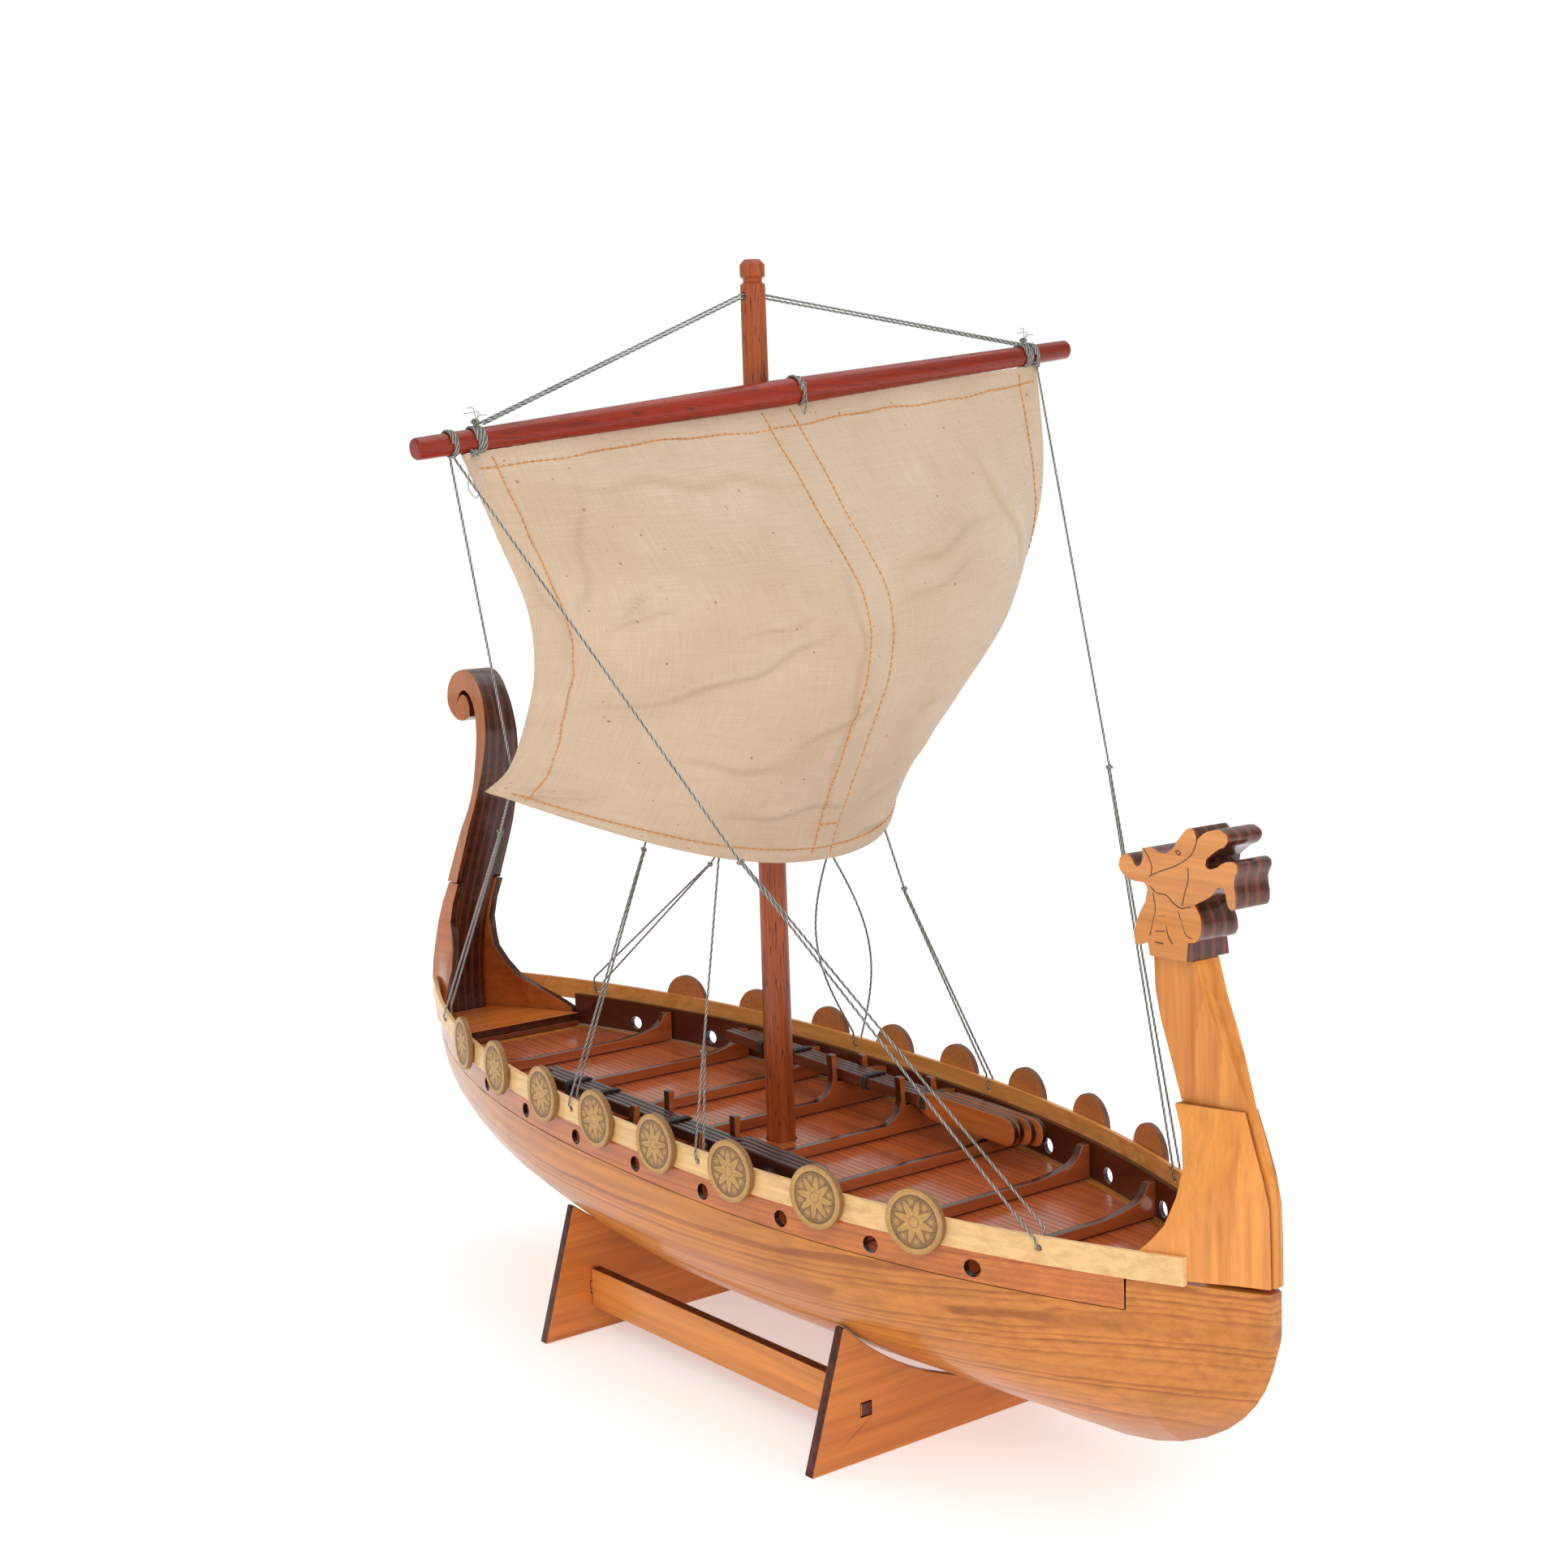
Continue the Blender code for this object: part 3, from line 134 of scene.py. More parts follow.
class Shader:
    """A node material in the making, with short calls for the usual nodes."""

    def __init__(self, name: str, roughness: float = 0.5, coat: float = 0.0) -> None:
        """Starts a material.

        Args:
            name: The material's name.
            roughness: Roughness where no node drives it.
            coat: Weight of the clear varnish coat.
        """
        self.material = bpy.data.materials.new(name)
        self.material.use_nodes = True
        self.tree = self.material.node_tree
        self.tree.nodes.clear()
        self.surface = self.node("ShaderNodeBsdfPrincipled")
        output = self.node("ShaderNodeOutputMaterial")
        self.tree.links.new(self.surface.outputs["BSDF"], output.inputs["Surface"])
        self.surface.inputs["Roughness"].default_value = roughness
        self.surface.inputs["Coat Weight"].default_value = coat
        self.surface.inputs["Coat Roughness"].default_value = 0.12

    def node(self, kind: str, **settings: object) -> bpy.types.Node:
        """Adds a node and sets its properties.

        Args:
            kind: The node's type name.
            settings: Its properties and their values.

        Returns:
            The new node.
        """
        made = self.tree.nodes.new(kind)
        for key, value in settings.items():
            setattr(made, key, value)
        return made

    def feed(self, socket: Socket, value: Feed) -> None:
        """Links an output to a socket, or sets the socket's own value.

        Args:
            socket: The input to feed.
            value: An output to link, or a plain value.
        """
        if isinstance(value, Socket):
            self.tree.links.new(value, socket)
        else:
            socket.default_value = value

    def place(self, source: str = "Object", scale: Triple = ONE, turn: Triple = ZERO,
              shift: Triple = ZERO) -> Socket:
        """Coordinates from the piece itself: turned first, then scaled and moved.

        Args:
            source: Object for the piece's own place, or UV for its map.
            scale: Scale of each axis.
            turn: Turn about each axis, in radians.
            shift: Move after the scaling.

        Returns:
            The coordinates.
        """
        found = self.node("ShaderNodeTexCoord").outputs[source]
        for settings in ({"Rotation": turn}, {"Scale": scale, "Location": shift}):
            mapping = self.node("ShaderNodeMapping")
            for key, value in settings.items():
                mapping.inputs[key].default_value = value
            self.feed(mapping.inputs["Vector"], found)
            found = mapping.outputs["Vector"]
        return found

    def attribute(self, name: str) -> Socket:
        """The value of a named attribute of the mesh."""
        return self.node("ShaderNodeAttribute", attribute_name=name).outputs["Fac"]

    def noise(self, vector: Feed, scale: float, detail: float = 3.0,
              rough: float = 0.55) -> Socket:
        """Fractal noise, 0 to 1.

        Args:
            vector: The coordinates to read.
            scale: Features to a metre.
            detail: Number of octaves.
            rough: How strongly the finer octaves count.

        Returns:
            The noise.
        """
        made = self.node("ShaderNodeTexNoise")
        self.feed(made.inputs["Vector"], vector)
        for key, value in (("Scale", scale), ("Detail", detail), ("Roughness", rough)):
            made.inputs[key].default_value = value
        return made.outputs["Fac"]

    def drift(self, value: Feed, scale: float, detail: float = 1.0) -> Socket:
        """Noise along one number, 0 to 1.

        Args:
            value: The number to run along.
            scale: Features to a metre.
            detail: Number of octaves.

        Returns:
            The noise.
        """
        made = self.node("ShaderNodeTexNoise", noise_dimensions="1D")
        self.feed(made.inputs["W"], value)
        made.inputs["Scale"].default_value = scale
        made.inputs["Detail"].default_value = detail
        return made.outputs["Fac"]

    def off_axis(self, vector: Feed) -> Socket:
        """Distance of a point from the X axis of the given coordinates.

        Args:
            vector: The coordinates to read.

        Returns:
            The distance.
        """
        flat = self.node("ShaderNodeVectorMath", operation="MULTIPLY")
        self.feed(flat.inputs[0], vector)
        flat.inputs[1].default_value = (0.0, 1.0, 1.0)
        length = self.node("ShaderNodeVectorMath", operation="LENGTH")
        self.feed(length.inputs[0], flat.outputs["Vector"])
        return length.outputs["Value"]

    def bands(self, vector: Feed, pitch: float, direction: str, distortion: float,
              detail_scale: float) -> Socket:
        """Sine bands a pitch apart, in metres of the given coordinates.

        Args:
            vector: The coordinates to read.
            pitch: Distance between bands.
            direction: The axis that they follow one another along.
            distortion: How far they are bent.
            detail_scale: Bends to a metre.

        Returns:
            The bands, 0 to 1.
        """
        made = self.node("ShaderNodeTexWave", wave_type="BANDS", wave_profile="SIN",
                         bands_direction=direction)
        self.feed(made.inputs["Vector"], vector)
        scale = math.pi / 10 / pitch
        for key, value in (("Scale", scale), ("Distortion", distortion), ("Detail", 2.0),
                           ("Detail Scale", detail_scale / scale), ("Detail Roughness", 0.5)):
            made.inputs[key].default_value = value
        return made.outputs["Fac"]

    def ramp(self, value: Feed, *stops: tuple[float, Triple]) -> Socket:
        """A colour ramp over (position, colour) stops.

        Args:
            value: The socket or number to read.
            stops: Positions from 0 to 1, each with its colour.

        Returns:
            The colour.
        """
        made = self.node("ShaderNodeValToRGB")
        elements = made.color_ramp.elements
        while len(elements) < len(stops):
            elements.new(0.5)
        for element, (position, colour) in zip(elements, stops):
            element.position = position
            element.color = (*colour, 1.0)
        self.feed(made.inputs["Fac"], value)
        return made.outputs["Color"]

    def span(self, value: Feed, low: float, high: float, out_low: float = 0.0,
             out_high: float = 1.0) -> Socket:
        """A value carried from one range to another, smoothly and clamped.

        Args:
            value: The socket or number to read.
            low: Where the range starts.
            high: Where it ends.
            out_low: Result at the start.
            out_high: Result at the end.

        Returns:
            The carried value.
        """
        made = self.node("ShaderNodeMapRange", interpolation_type="SMOOTHSTEP")
        for key, given in (("Value", value), ("From Min", low), ("From Max", high),
                           ("To Min", out_low), ("To Max", out_high)):
            self.feed(made.inputs[key], given)
        return made.outputs["Result"]

    def math(self, operation: str, a: Feed, b: Feed = 0.0) -> Socket:
        """A scalar sum, product or comparison.

        Args:
            operation: The operation's name.
            a: First operand.
            b: Second operand.

        Returns:
            The result.
        """
        made = self.node("ShaderNodeMath", operation=operation)
        self.feed(made.inputs[0], a)
        self.feed(made.inputs[1], b)
        return made.outputs[0]

    def mix(self, share: Feed, first: Feed, second: Feed, blend: str = "MIX") -> Socket:
        """Two colours mixed by a share.

        Args:
            share: How much of the second colour.
            first: First colour.
            second: Second colour.
            blend: How the second is laid on.

        Returns:
            The mixed colour.
        """
        made = self.node("ShaderNodeMix", data_type="RGBA", blend_type=blend)
        colours = [(*c, 1.0) if isinstance(c, tuple) and len(c) == 3 else c
                   for c in (first, second)]
        self.feed(made.inputs[0], share)
        self.feed(made.inputs[6], colours[0])
        self.feed(made.inputs[7], colours[1])
        return made.outputs[2]

    def axis(self, vector: Feed, index: int) -> Socket:
        """One component of a vector.

        Args:
            vector: The coordinates to read.
            index: 0, 1 or 2 for X, Y or Z.

        Returns:
            The component.
        """
        made = self.node("ShaderNodeSeparateXYZ")
        self.feed(made.inputs[0], vector)
        return made.outputs[index]

    def bump(self, *layers: tuple[Feed, float, float]) -> None:
        """Bump from (height, distance in metres, strength) layers, one on another.

        Args:
            layers: Each layer's height, distance and strength.
        """
        normal = None
        for height, distance, strength in layers:
            made = self.node("ShaderNodeBump")
            made.inputs["Distance"].default_value = distance
            made.inputs["Strength"].default_value = strength
            self.feed(made.inputs["Height"], height)
            if normal is not None:
                self.feed(made.inputs["Normal"], normal)
            normal = made.outputs["Normal"]
        self.feed(self.surface.inputs["Normal"], normal)
        self.feed(self.surface.inputs["Coat Normal"], normal)


def tone(*rgb: int) -> Triple:
    """A display colour of 0 to 255 as linear light."""
    return tuple(((c / 255 + 0.055) / 1.055) ** 2.4 if c > 10 else c / 255 / 12.92 for c in rgb)


@dataclass(frozen=True)
class WoodFinish:
    """Varnished wood: growth rings, fibres, pores, uneven stain, burnt sawn edges and painted shade
    on the inboard face.
    """

    name: str
    early: Tone
    late: Tone
    grain: Grain = Grain.ALONG_X
    ring_pitch: float = 2.6
    ring_share: float = 0.75
    waviness: float = 2.0
    pith: Triple = (0.0, 90.0, -60.0)
    pores: float = 0.0
    gloss: float = 0.28
    coat: float = 0.3
    blotchy: float = 0.5
    edge: Across | None = None
    burnt: Tone = (78, 38, 20)
    plies: float = 0.0
    planks: float = 0.0
    stain: Tone | None = None
    # inside: tone of the painted shade on the inboard face; inboard: sign of the normal's y on that
    # face.
    inside: Tone | None = None
    inboard: int = 0
    # shaft: tone of painted shade laid on the oar shafts, away from the blade.
    shaft: Tone | None = None

    def make(self) -> bpy.types.Material:
        """Builds the node material.

        Rings are distances from a far pith line along the grain, bent by slow noise; fibres
        and pores are noise drawn out along the grain; a slow stain shifts the colour.

        Returns:
            The material.
        """
        s = Shader(self.name, self.gloss, self.coat)
        s.surface.inputs["Specular IOR Level"].default_value = 0.22
        turn = self.grain.value
        fibres = s.noise(s.place(scale=(14.0, 420.0, 420.0), turn=turn), 1.0, 4.0, 0.65)
        blotch = s.noise(s.place(scale=(10.0, 26.0, 26.0), turn=turn), 1.0, 3.0)
        colour = s.mix(s.math("MULTIPLY", self._rings(s), self.ring_share), tone(*self.early),
                       tone(*self.late))
        colour = s.mix(1.0, colour, s.ramp(fibres, (0.3, (0.78, 0.74, 0.7)),
                                           (0.62, (1.06, 1.06, 1.06))), "MULTIPLY")
        colour = s.mix(self.blotchy, colour, s.ramp(blotch, (0.3, (0.8, 0.75, 0.7)),
                                                    (0.7, (1.1, 1.09, 1.05))), "MULTIPLY")
        layers = [(fibres, 0.00005, 0.35)]
        if self.stain:
            patch = s.span(s.noise(s.place(scale=(9.0, 16.0, 20.0)), 1.0, 2.0), 0.48, 0.68)
            colour = s.mix(patch, colour, tone(*self.stain))
        if self.pores:
            colour = self._pore_marks(s, colour, layers)
        if self.planks:
            colour = self._plank_seams(s, colour, layers)
        # Painted shade on the inboard face.
        if self.inside:
            colour = self._inner_face(s, colour, fibres)
        # Painted shade on the oar shafts: the shaft tone where the blade share is low.
        if self.shaft:
            colour = s.mix(s.attribute("blade"), tone(*self.shaft), colour)
        if self.edge is not None:
            colour = self._burn(s, colour)
        s.feed(s.surface.inputs["Base Color"], colour)
        s.feed(s.surface.inputs["Roughness"],
               s.span(blotch, 0.25, 0.75, self.gloss * 0.75, self.gloss * 1.35))
        s.bump(*layers)
        return s.material

    def _rings(self, s: Shader) -> Socket:
        """Growth rings: each year's late wood rises slowly and ends sharply.

        The phase is distance from the pith over the pitch, plus a wander along the grain and
        an unevenness from year to year; some years are fainter than others.

        Args:
            s: The shader being built.

        Returns:
            How much late wood there is, 0 to 1.
        """
        wood = s.place(scale=(0.13, 1.0, 1.0), turn=self.grain.value,
                       shift=tuple(p * MM for p in self.pith))
        distance = s.off_axis(wood)
        pitch = self.ring_pitch * MM
        wander = s.math("MULTIPLY", s.noise(wood, 34.0, 3.0), self.waviness)
        uneven = s.math("MULTIPLY", s.drift(distance, 0.4 / pitch), 2.2)
        phase = s.math("ADD", s.math("ADD", s.math("DIVIDE", distance, pitch), wander), uneven)
        ring = s.math("FRACT", phase)
        late = s.math("MULTIPLY", s.span(ring, 0.3, 0.88), s.span(ring, 0.9, 1.0, 1.0, 0.0))
        return s.math("MULTIPLY", late, s.span(s.drift(distance, 0.55 / pitch), 0.35, 0.65, 0.3))

    def _pore_marks(self, s: Shader, colour: Socket, layers: list) -> Socket:
        """Short dark pores drawn out along the grain, and their bump.

        Args:
            s: The shader being built.
            colour: The wood's colour so far.
            layers: Bump layers, added to.

        Returns:
            The colour with its pores.
        """
        marks = s.noise(s.place(scale=(150.0, 2400.0, 2400.0), turn=self.grain.value), 1.0, 2.0,
                        0.5)
        dark = s.span(marks, 0.57, 0.68)
        layers.append((s.math("SUBTRACT", 1.0, dark), 0.00006, 0.5))
        return s.mix(s.math("MULTIPLY", dark, self.pores), colour,
                     tone(*(int(c * 0.38) for c in self.late)))

    def _plank_seams(self, s: Shader, colour: Socket, layers: list) -> Socket:
        """Scored seams between the narrow planks, and their bump.

        Args:
            s: The shader being built.
            colour: The wood's colour so far.
            layers: Bump layers, added to.

        Returns:
            The colour with its seams.
        """
        seams = s.bands(s.place(shift=(0, 0.4 * MM, 0)), self.planks * MM, "Y", 0.25, 20.0)
        line = s.span(seams, 0.93, 1.0)
        layers.append((s.math("SUBTRACT", 1.0, line), 0.00012, 0.7))
        return s.mix(s.math("MULTIPLY", line, 0.72), colour, tone(70, 26, 14))

    def _inner_face(self, s: Shader, colour: Socket, fibres: Socket) -> Socket:
        """Paints shade on the face that looks inboard.

        Args:
            s: The shader being built.
            colour: The wood's colour so far.
            fibres: The fibre noise.

        Returns:
            The colour with painted shade on its inner face.
        """
        facing = s.axis(s.node("ShaderNodeTexCoord").outputs["Normal"], 1)
        return s.mix(s.span(s.math("MULTIPLY", facing, float(self.inboard)), 0.1, 0.4),
                     colour, s.mix(fibres, tone(*(int(c * 0.7) for c in self.inside)),
                                   tone(*self.inside)))

    def _burn(self, s: Shader, colour: Socket) -> Socket:
        """Darkens the faces square to the thickness, with soot streaks and ply layers.

        Args:
            s: The shader being built.
            colour: The wood's colour so far.

        Returns:
            The colour with its sawn edges burnt.
        """
        facing = s.math("ABSOLUTE", s.axis(s.node("ShaderNodeTexCoord").outputs["Normal"],
                                           self.edge.value))
        sawn = s.span(facing, 0.25, 0.8, 1.0, 0.0)
        soot = s.noise(s.place(scale=(300.0, 300.0, 300.0)), 1.0, 4.0)
        dark = s.mix(s.span(soot, 0.3, 0.75), tone(*(int(c * 0.55) for c in self.burnt)),
                     tone(*self.burnt))
        if self.plies:
            layer = s.bands(s.place(), self.plies * MM, self.edge.name, 0.3, 60.0)
            dark = s.mix(s.span(layer, 0.5, 1.0, 0.0, 0.6), dark,
                         tone(*(min(int(c * 1.5), 255) for c in self.burnt)))
        return s.mix(sawn, colour, dark)


@dataclass(frozen=True)
class ClothFinish:
    """Unbleached canvas: plain weave, slubs, seed specks, a faint unevenness, and painted shade
    beside the folds.
    """

    name: str = "canvas"
    light: Tone = (212, 187, 161)
    shade: Tone = (204, 177, 149)
    thread_pitch: float = 0.62

    def make(self) -> bpy.types.Material:
        """Builds the material from the sheet's own map, which is in metres of cloth.

        Returns:
            The material.
        """
        s = Shader(self.name, 0.92)
        s.surface.inputs["Sheen Weight"].default_value = 0.25
        s.surface.inputs["Sheen Roughness"].default_value = 0.6
        cloth = s.place("UV")
        warp = s.bands(cloth, self.thread_pitch * MM, "X", 0.9, 300.0)
        weft = s.bands(cloth, self.thread_pitch * MM, "Y", 0.9, 300.0)
        weave = s.math("MULTIPLY", s.math("ADD", warp, weft), 0.5)
        slub = s.noise(s.place("UV", scale=(60.0, 1500.0, 1.0)), 1.0, 3.0)
        slub_down = s.noise(s.place("UV", scale=(1500.0, 60.0, 1.0)), 1.0, 3.0)
        uneven = s.noise(s.place("UV", scale=(28.0, 28.0, 1.0)), 1.0, 4.0)
        colour = s.mix(s.span(uneven, 0.3, 0.7), tone(*self.shade), tone(*self.light))
        colour = s.mix(1.0, colour, s.ramp(weave, (0.1, (0.92, 0.91, 0.89)),
                                           (0.8, (1.03, 1.03, 1.03))), "MULTIPLY")
        threads = s.math("ADD", slub, slub_down)
        colour = s.mix(1.0, colour, s.ramp(s.math("MULTIPLY", threads, 0.5),
                                           (0.4, (0.94, 0.925, 0.9)), (0.62, (1.04, 1.04, 1.04))),
                       "MULTIPLY")
        seeds = s.node("ShaderNodeTexVoronoi", feature="F1")
        s.feed(seeds.inputs["Vector"], s.place("UV", scale=(1.0, 0.62, 1.0)))
        seeds.inputs["Scale"].default_value = 250.0
        rare = s.span(s.noise(s.place("UV"), 520.0, 0.0), 0.56, 0.62)
        speck = s.math("MULTIPLY", s.span(seeds.outputs["Distance"], 0.05, 0.15, 1.0, 0.0), rare)
        colour = s.mix(s.math("MULTIPLY", speck, 0.75), colour, tone(120, 84, 50))
        # Painted shade: cloth darkened in the valley beside each fold.
        crease = s.attribute("crease")
        colour = s.mix(s.math("MULTIPLY", crease, 0.35), colour, tone(166, 140, 106))
        s.feed(s.surface.inputs["Base Color"], colour)
        s.bump((weave, 0.00008, 0.55), (threads, 0.00012, 0.3))
        return s.material


@dataclass(frozen=True)
class ThreadFinish:
    """Twisted twine or sewing thread, with fuzz along the strands and painted shade in the lay
    between them.
    """

    name: str
    light: Tone
    # dark: tone of the painted shade in the lay between strands.
    dark: Tone
    rough: float = 0.75

    def make(self) -> bpy.types.Material:
        """Builds the material: the groove attribute paints shade into the lay between strands.

        Returns:
            The material.
        """
        s = Shader(self.name, self.rough)
        s.surface.inputs["Sheen Weight"].default_value = 0.2
        fuzz = s.noise(s.place(scale=(2600.0, 2600.0, 2600.0)), 1.0, 3.0, 0.7)
        slow = s.noise(s.place(scale=(90.0, 90.0, 90.0)), 1.0, 2.0)
        # Painted shade: darker tone in the grooves between strands.
        colour = s.mix(s.span(s.attribute("groove"), 0.1, 0.75), tone(*self.light),
                       tone(*self.dark))
        colour = s.mix(1.0, colour, s.ramp(fuzz, (0.3, (0.72, 0.72, 0.72)),
                                           (0.7, (1.18, 1.18, 1.18))), "MULTIPLY")
        colour = s.mix(1.0, colour, s.ramp(slow, (0.35, (0.82, 0.82, 0.82)),
                                           (0.65, (1.1, 1.1, 1.1))), "MULTIPLY")
        s.feed(s.surface.inputs["Base Color"], colour)
        s.bump((fuzz, 0.00008, 0.6))
        return s.material


@dataclass(frozen=True)
class ShieldFinish:
    """Laser-engraved fibre board: tan skin, sooty grooves, brown sawn rim."""

    name: str
    skin: Tone
    groove: Tone
    rim: Tone
    gloss: float = 0.5

    def make(self) -> bpy.types.Material:
        """Builds the material from the carve and rim attributes of the disc.

        Returns:
            The material.
        """
        s = Shader(self.name, self.gloss, 0.15)
        fibre = s.noise(s.place(scale=(900.0, 900.0, 900.0)), 1.0, 4.0, 0.7)
        blotch = s.noise(s.place(scale=(120.0, 120.0, 120.0)), 1.0, 3.0)
        colour = s.mix(s.span(s.attribute("carve"), 0.15, 0.85), tone(*self.skin),
                       tone(*self.groove))
        colour = s.mix(s.attribute("rim"), colour, tone(*self.rim))
        colour = s.mix(1.0, colour, s.ramp(fibre, (0.3, (0.78, 0.76, 0.72)),
                                           (0.68, (1.12, 1.12, 1.12))), "MULTIPLY")
        colour = s.mix(1.0, colour, s.ramp(blotch, (0.3, (0.88, 0.86, 0.84)),
                                           (0.7, (1.06, 1.06, 1.06))), "MULTIPLY")
        s.feed(s.surface.inputs["Base Color"], colour)
        s.bump((fibre, 0.00006, 0.5))
        return s.material


WOODS = (
    WoodFinish("hull_pine", (208, 132, 56), (156, 82, 28), ring_pitch=3.0, waviness=3.0,
               pith=(0, 10, 40), ring_share=0.8, gloss=0.3, coat=0.4,
               stain=(176, 108, 56)),
    WoodFinish("deck_veneer", (190, 98, 48), (156, 68, 30), ring_pitch=6.0, ring_share=0.5,
               planks=2.7, coat=0.7, gloss=0.22),
    # Both bulwarks carry painted shade on their inboard faces (inside, inboard).
    WoodFinish("starboard_bulwark_red", (206, 120, 56), (164, 84, 36), ring_pitch=1.8,
               waviness=1.0, ring_share=0.6, pith=(0, 60, -900), edge=Across.Y,
               burnt=(34, 18, 14), gloss=0.24, coat=0.5, inside=(100, 44, 28), inboard=1),
    WoodFinish("port_bulwark_red", (206, 120, 56), (164, 84, 36), ring_pitch=1.8,
               waviness=1.0, ring_share=0.6, pith=(0, 60, -900), edge=Across.Y,
               burnt=(60, 30, 20), gloss=0.24, coat=0.5, inside=(100, 44, 28), inboard=-1),
    WoodFinish("strip_cream", (240, 196, 136), (232, 182, 118), ring_pitch=2.6,
               ring_share=0.15, pith=(0, 200, -160), gloss=0.34, blotchy=0.08),
    WoodFinish("strip_orange", (236, 166, 90), (216, 136, 62), ring_pitch=2.6,
               ring_share=0.5, pith=(0, 200, -160), gloss=0.32, blotchy=0.3),
    WoodFinish("stem_pine", (232, 152, 70), (198, 106, 38), Grain.ALONG_Z, ring_pitch=3.6,
               waviness=1.2, pith=(0, 70, 190)),
    WoodFinish("cheek_ply", (238, 158, 80), (214, 126, 54), Grain.ALONG_Z, ring_pitch=9.0,
               ring_share=0.35, edge=Across.Y, burnt=(168, 92, 42), blotchy=0.25),
    WoodFinish("head_ply", (222, 146, 76), (198, 116, 54), ring_pitch=7.0, ring_share=0.4,
               edge=Across.Y, burnt=(92, 42, 24), plies=4.4, coat=0.6, gloss=0.22,
               blotchy=0.3),
    WoodFinish("post_ply", (180, 102, 42), (144, 72, 26), Grain.ALONG_Z, ring_pitch=7.0,
               ring_share=0.5, edge=Across.Y, burnt=(76, 34, 20), plies=3.6, coat=0.6,
               gloss=0.22),
    WoodFinish("stern_cheek", (190, 102, 42), (156, 74, 28), ring_pitch=8.0,
               ring_share=0.4, edge=Across.Y, burnt=(82, 36, 20), coat=0.5, gloss=0.24),
    WoodFinish("platform_ply", (214, 126, 56), (186, 94, 38), Grain.ALONG_Y,
               ring_pitch=6.0, ring_share=0.45, edge=Across.Z, burnt=(84, 36, 20),
               coat=0.5, gloss=0.22),
    WoodFinish("beam_dark", (124, 58, 34), (84, 36, 20), Grain.ALONG_Y, ring_pitch=3.0,
               coat=0.6, gloss=0.2),
    WoodFinish("rib_ply", (178, 94, 48), (138, 62, 30), Grain.ALONG_Y, ring_pitch=4.0,
               ring_share=0.5, edge=Across.X, burnt=(92, 40, 24), coat=0.6, gloss=0.22),
    WoodFinish("mast_mahogany", (170, 84, 38), (126, 52, 22), Grain.ALONG_Z,
               ring_pitch=3.2, ring_share=0.45, pores=0.8, gloss=0.3, blotchy=0.8),
    WoodFinish("yard_mahogany", (150, 42, 14), (108, 26, 10), Grain.ALONG_Y,
               ring_pitch=3.2, ring_share=0.45, pores=0.5, gloss=0.28, blotchy=0.7),
    WoodFinish("stand_ply", (212, 128, 58), (186, 100, 42), Grain.ALONG_Y,
               ring_pitch=9.0, ring_share=0.45, edge=Across.X, burnt=(100, 44, 26),
               gloss=0.4, blotchy=0.3),
    WoodFinish("rail_ply", (228, 148, 72), (204, 118, 52), ring_pitch=9.0,
               ring_share=0.35, edge=Across.Y, burnt=(96, 44, 26), gloss=0.4,
               blotchy=0.25),
    WoodFinish("oar_dark", (66, 36, 26), (36, 20, 16), ring_pitch=1.6, coat=0.6,
               gloss=0.24),
    # The port oars carry painted shade on their shafts (shaft).
    WoodFinish("oar_face", (206, 116, 52), (168, 82, 34), ring_pitch=1.8,
               pith=(0, 200, -160), edge=Across.Y, burnt=(50, 26, 20), coat=0.5,
               gloss=0.26, shaft=(104, 48, 28)),
)

FABRICS_AND_BOARDS = (
    ClothFinish(),
    ThreadFinish("grey_twine", (184, 184, 176), (76, 76, 72)),
    ThreadFinish("white_thread", (226, 224, 214), (150, 148, 140)),
    ThreadFinish("gold_thread", (236, 166, 78), (196, 122, 48), 0.6),
    ThreadFinish("black_twine", (64, 58, 56), (24, 20, 20)),
    ThreadFinish("burn_mark", (104, 58, 30), (74, 40, 22), 0.5),
    ShieldFinish("shield_face", (198, 152, 86), (116, 78, 38), (150, 108, 56)),
    ShieldFinish("shield_port", (204, 130, 68), (150, 84, 40), (112, 62, 34), 0.4),
)


class Finishes:
    """Every finish of the ship, made once and handed out by name."""

    def __init__(self) -> None:
        """Builds the materials."""
        self._made = {finish.name: finish.make() for finish in (*WOODS, *FABRICS_AND_BOARDS)}

    def __getitem__(self, name: str) -> bpy.types.Material:
        """The material of that name."""
        return self._made[name]


# ---- meshes ----------------------------------------------------------------------------

def grid_faces(rows: int, columns: int, closed: bool) -> np.ndarray:
    """Quads of a grid of points, row by row.

    Args:
        rows: Number of point rows.
        columns: Number of points in a row.
        closed: Whether each row joins its own end.

    Returns:
        An array of quads, each corner i, j, i+1, j+1 turned the same way.
    """
    across = columns if closed else columns - 1
    i, j = np.meshgrid(np.arange(rows - 1), np.arange(across), indexing="ij")
    k = (j + 1) % columns
    return np.stack([i * columns + j, i * columns + k, (i + 1) * columns + k,
                     (i + 1) * columns + j], axis=-1).reshape(-1, 4)


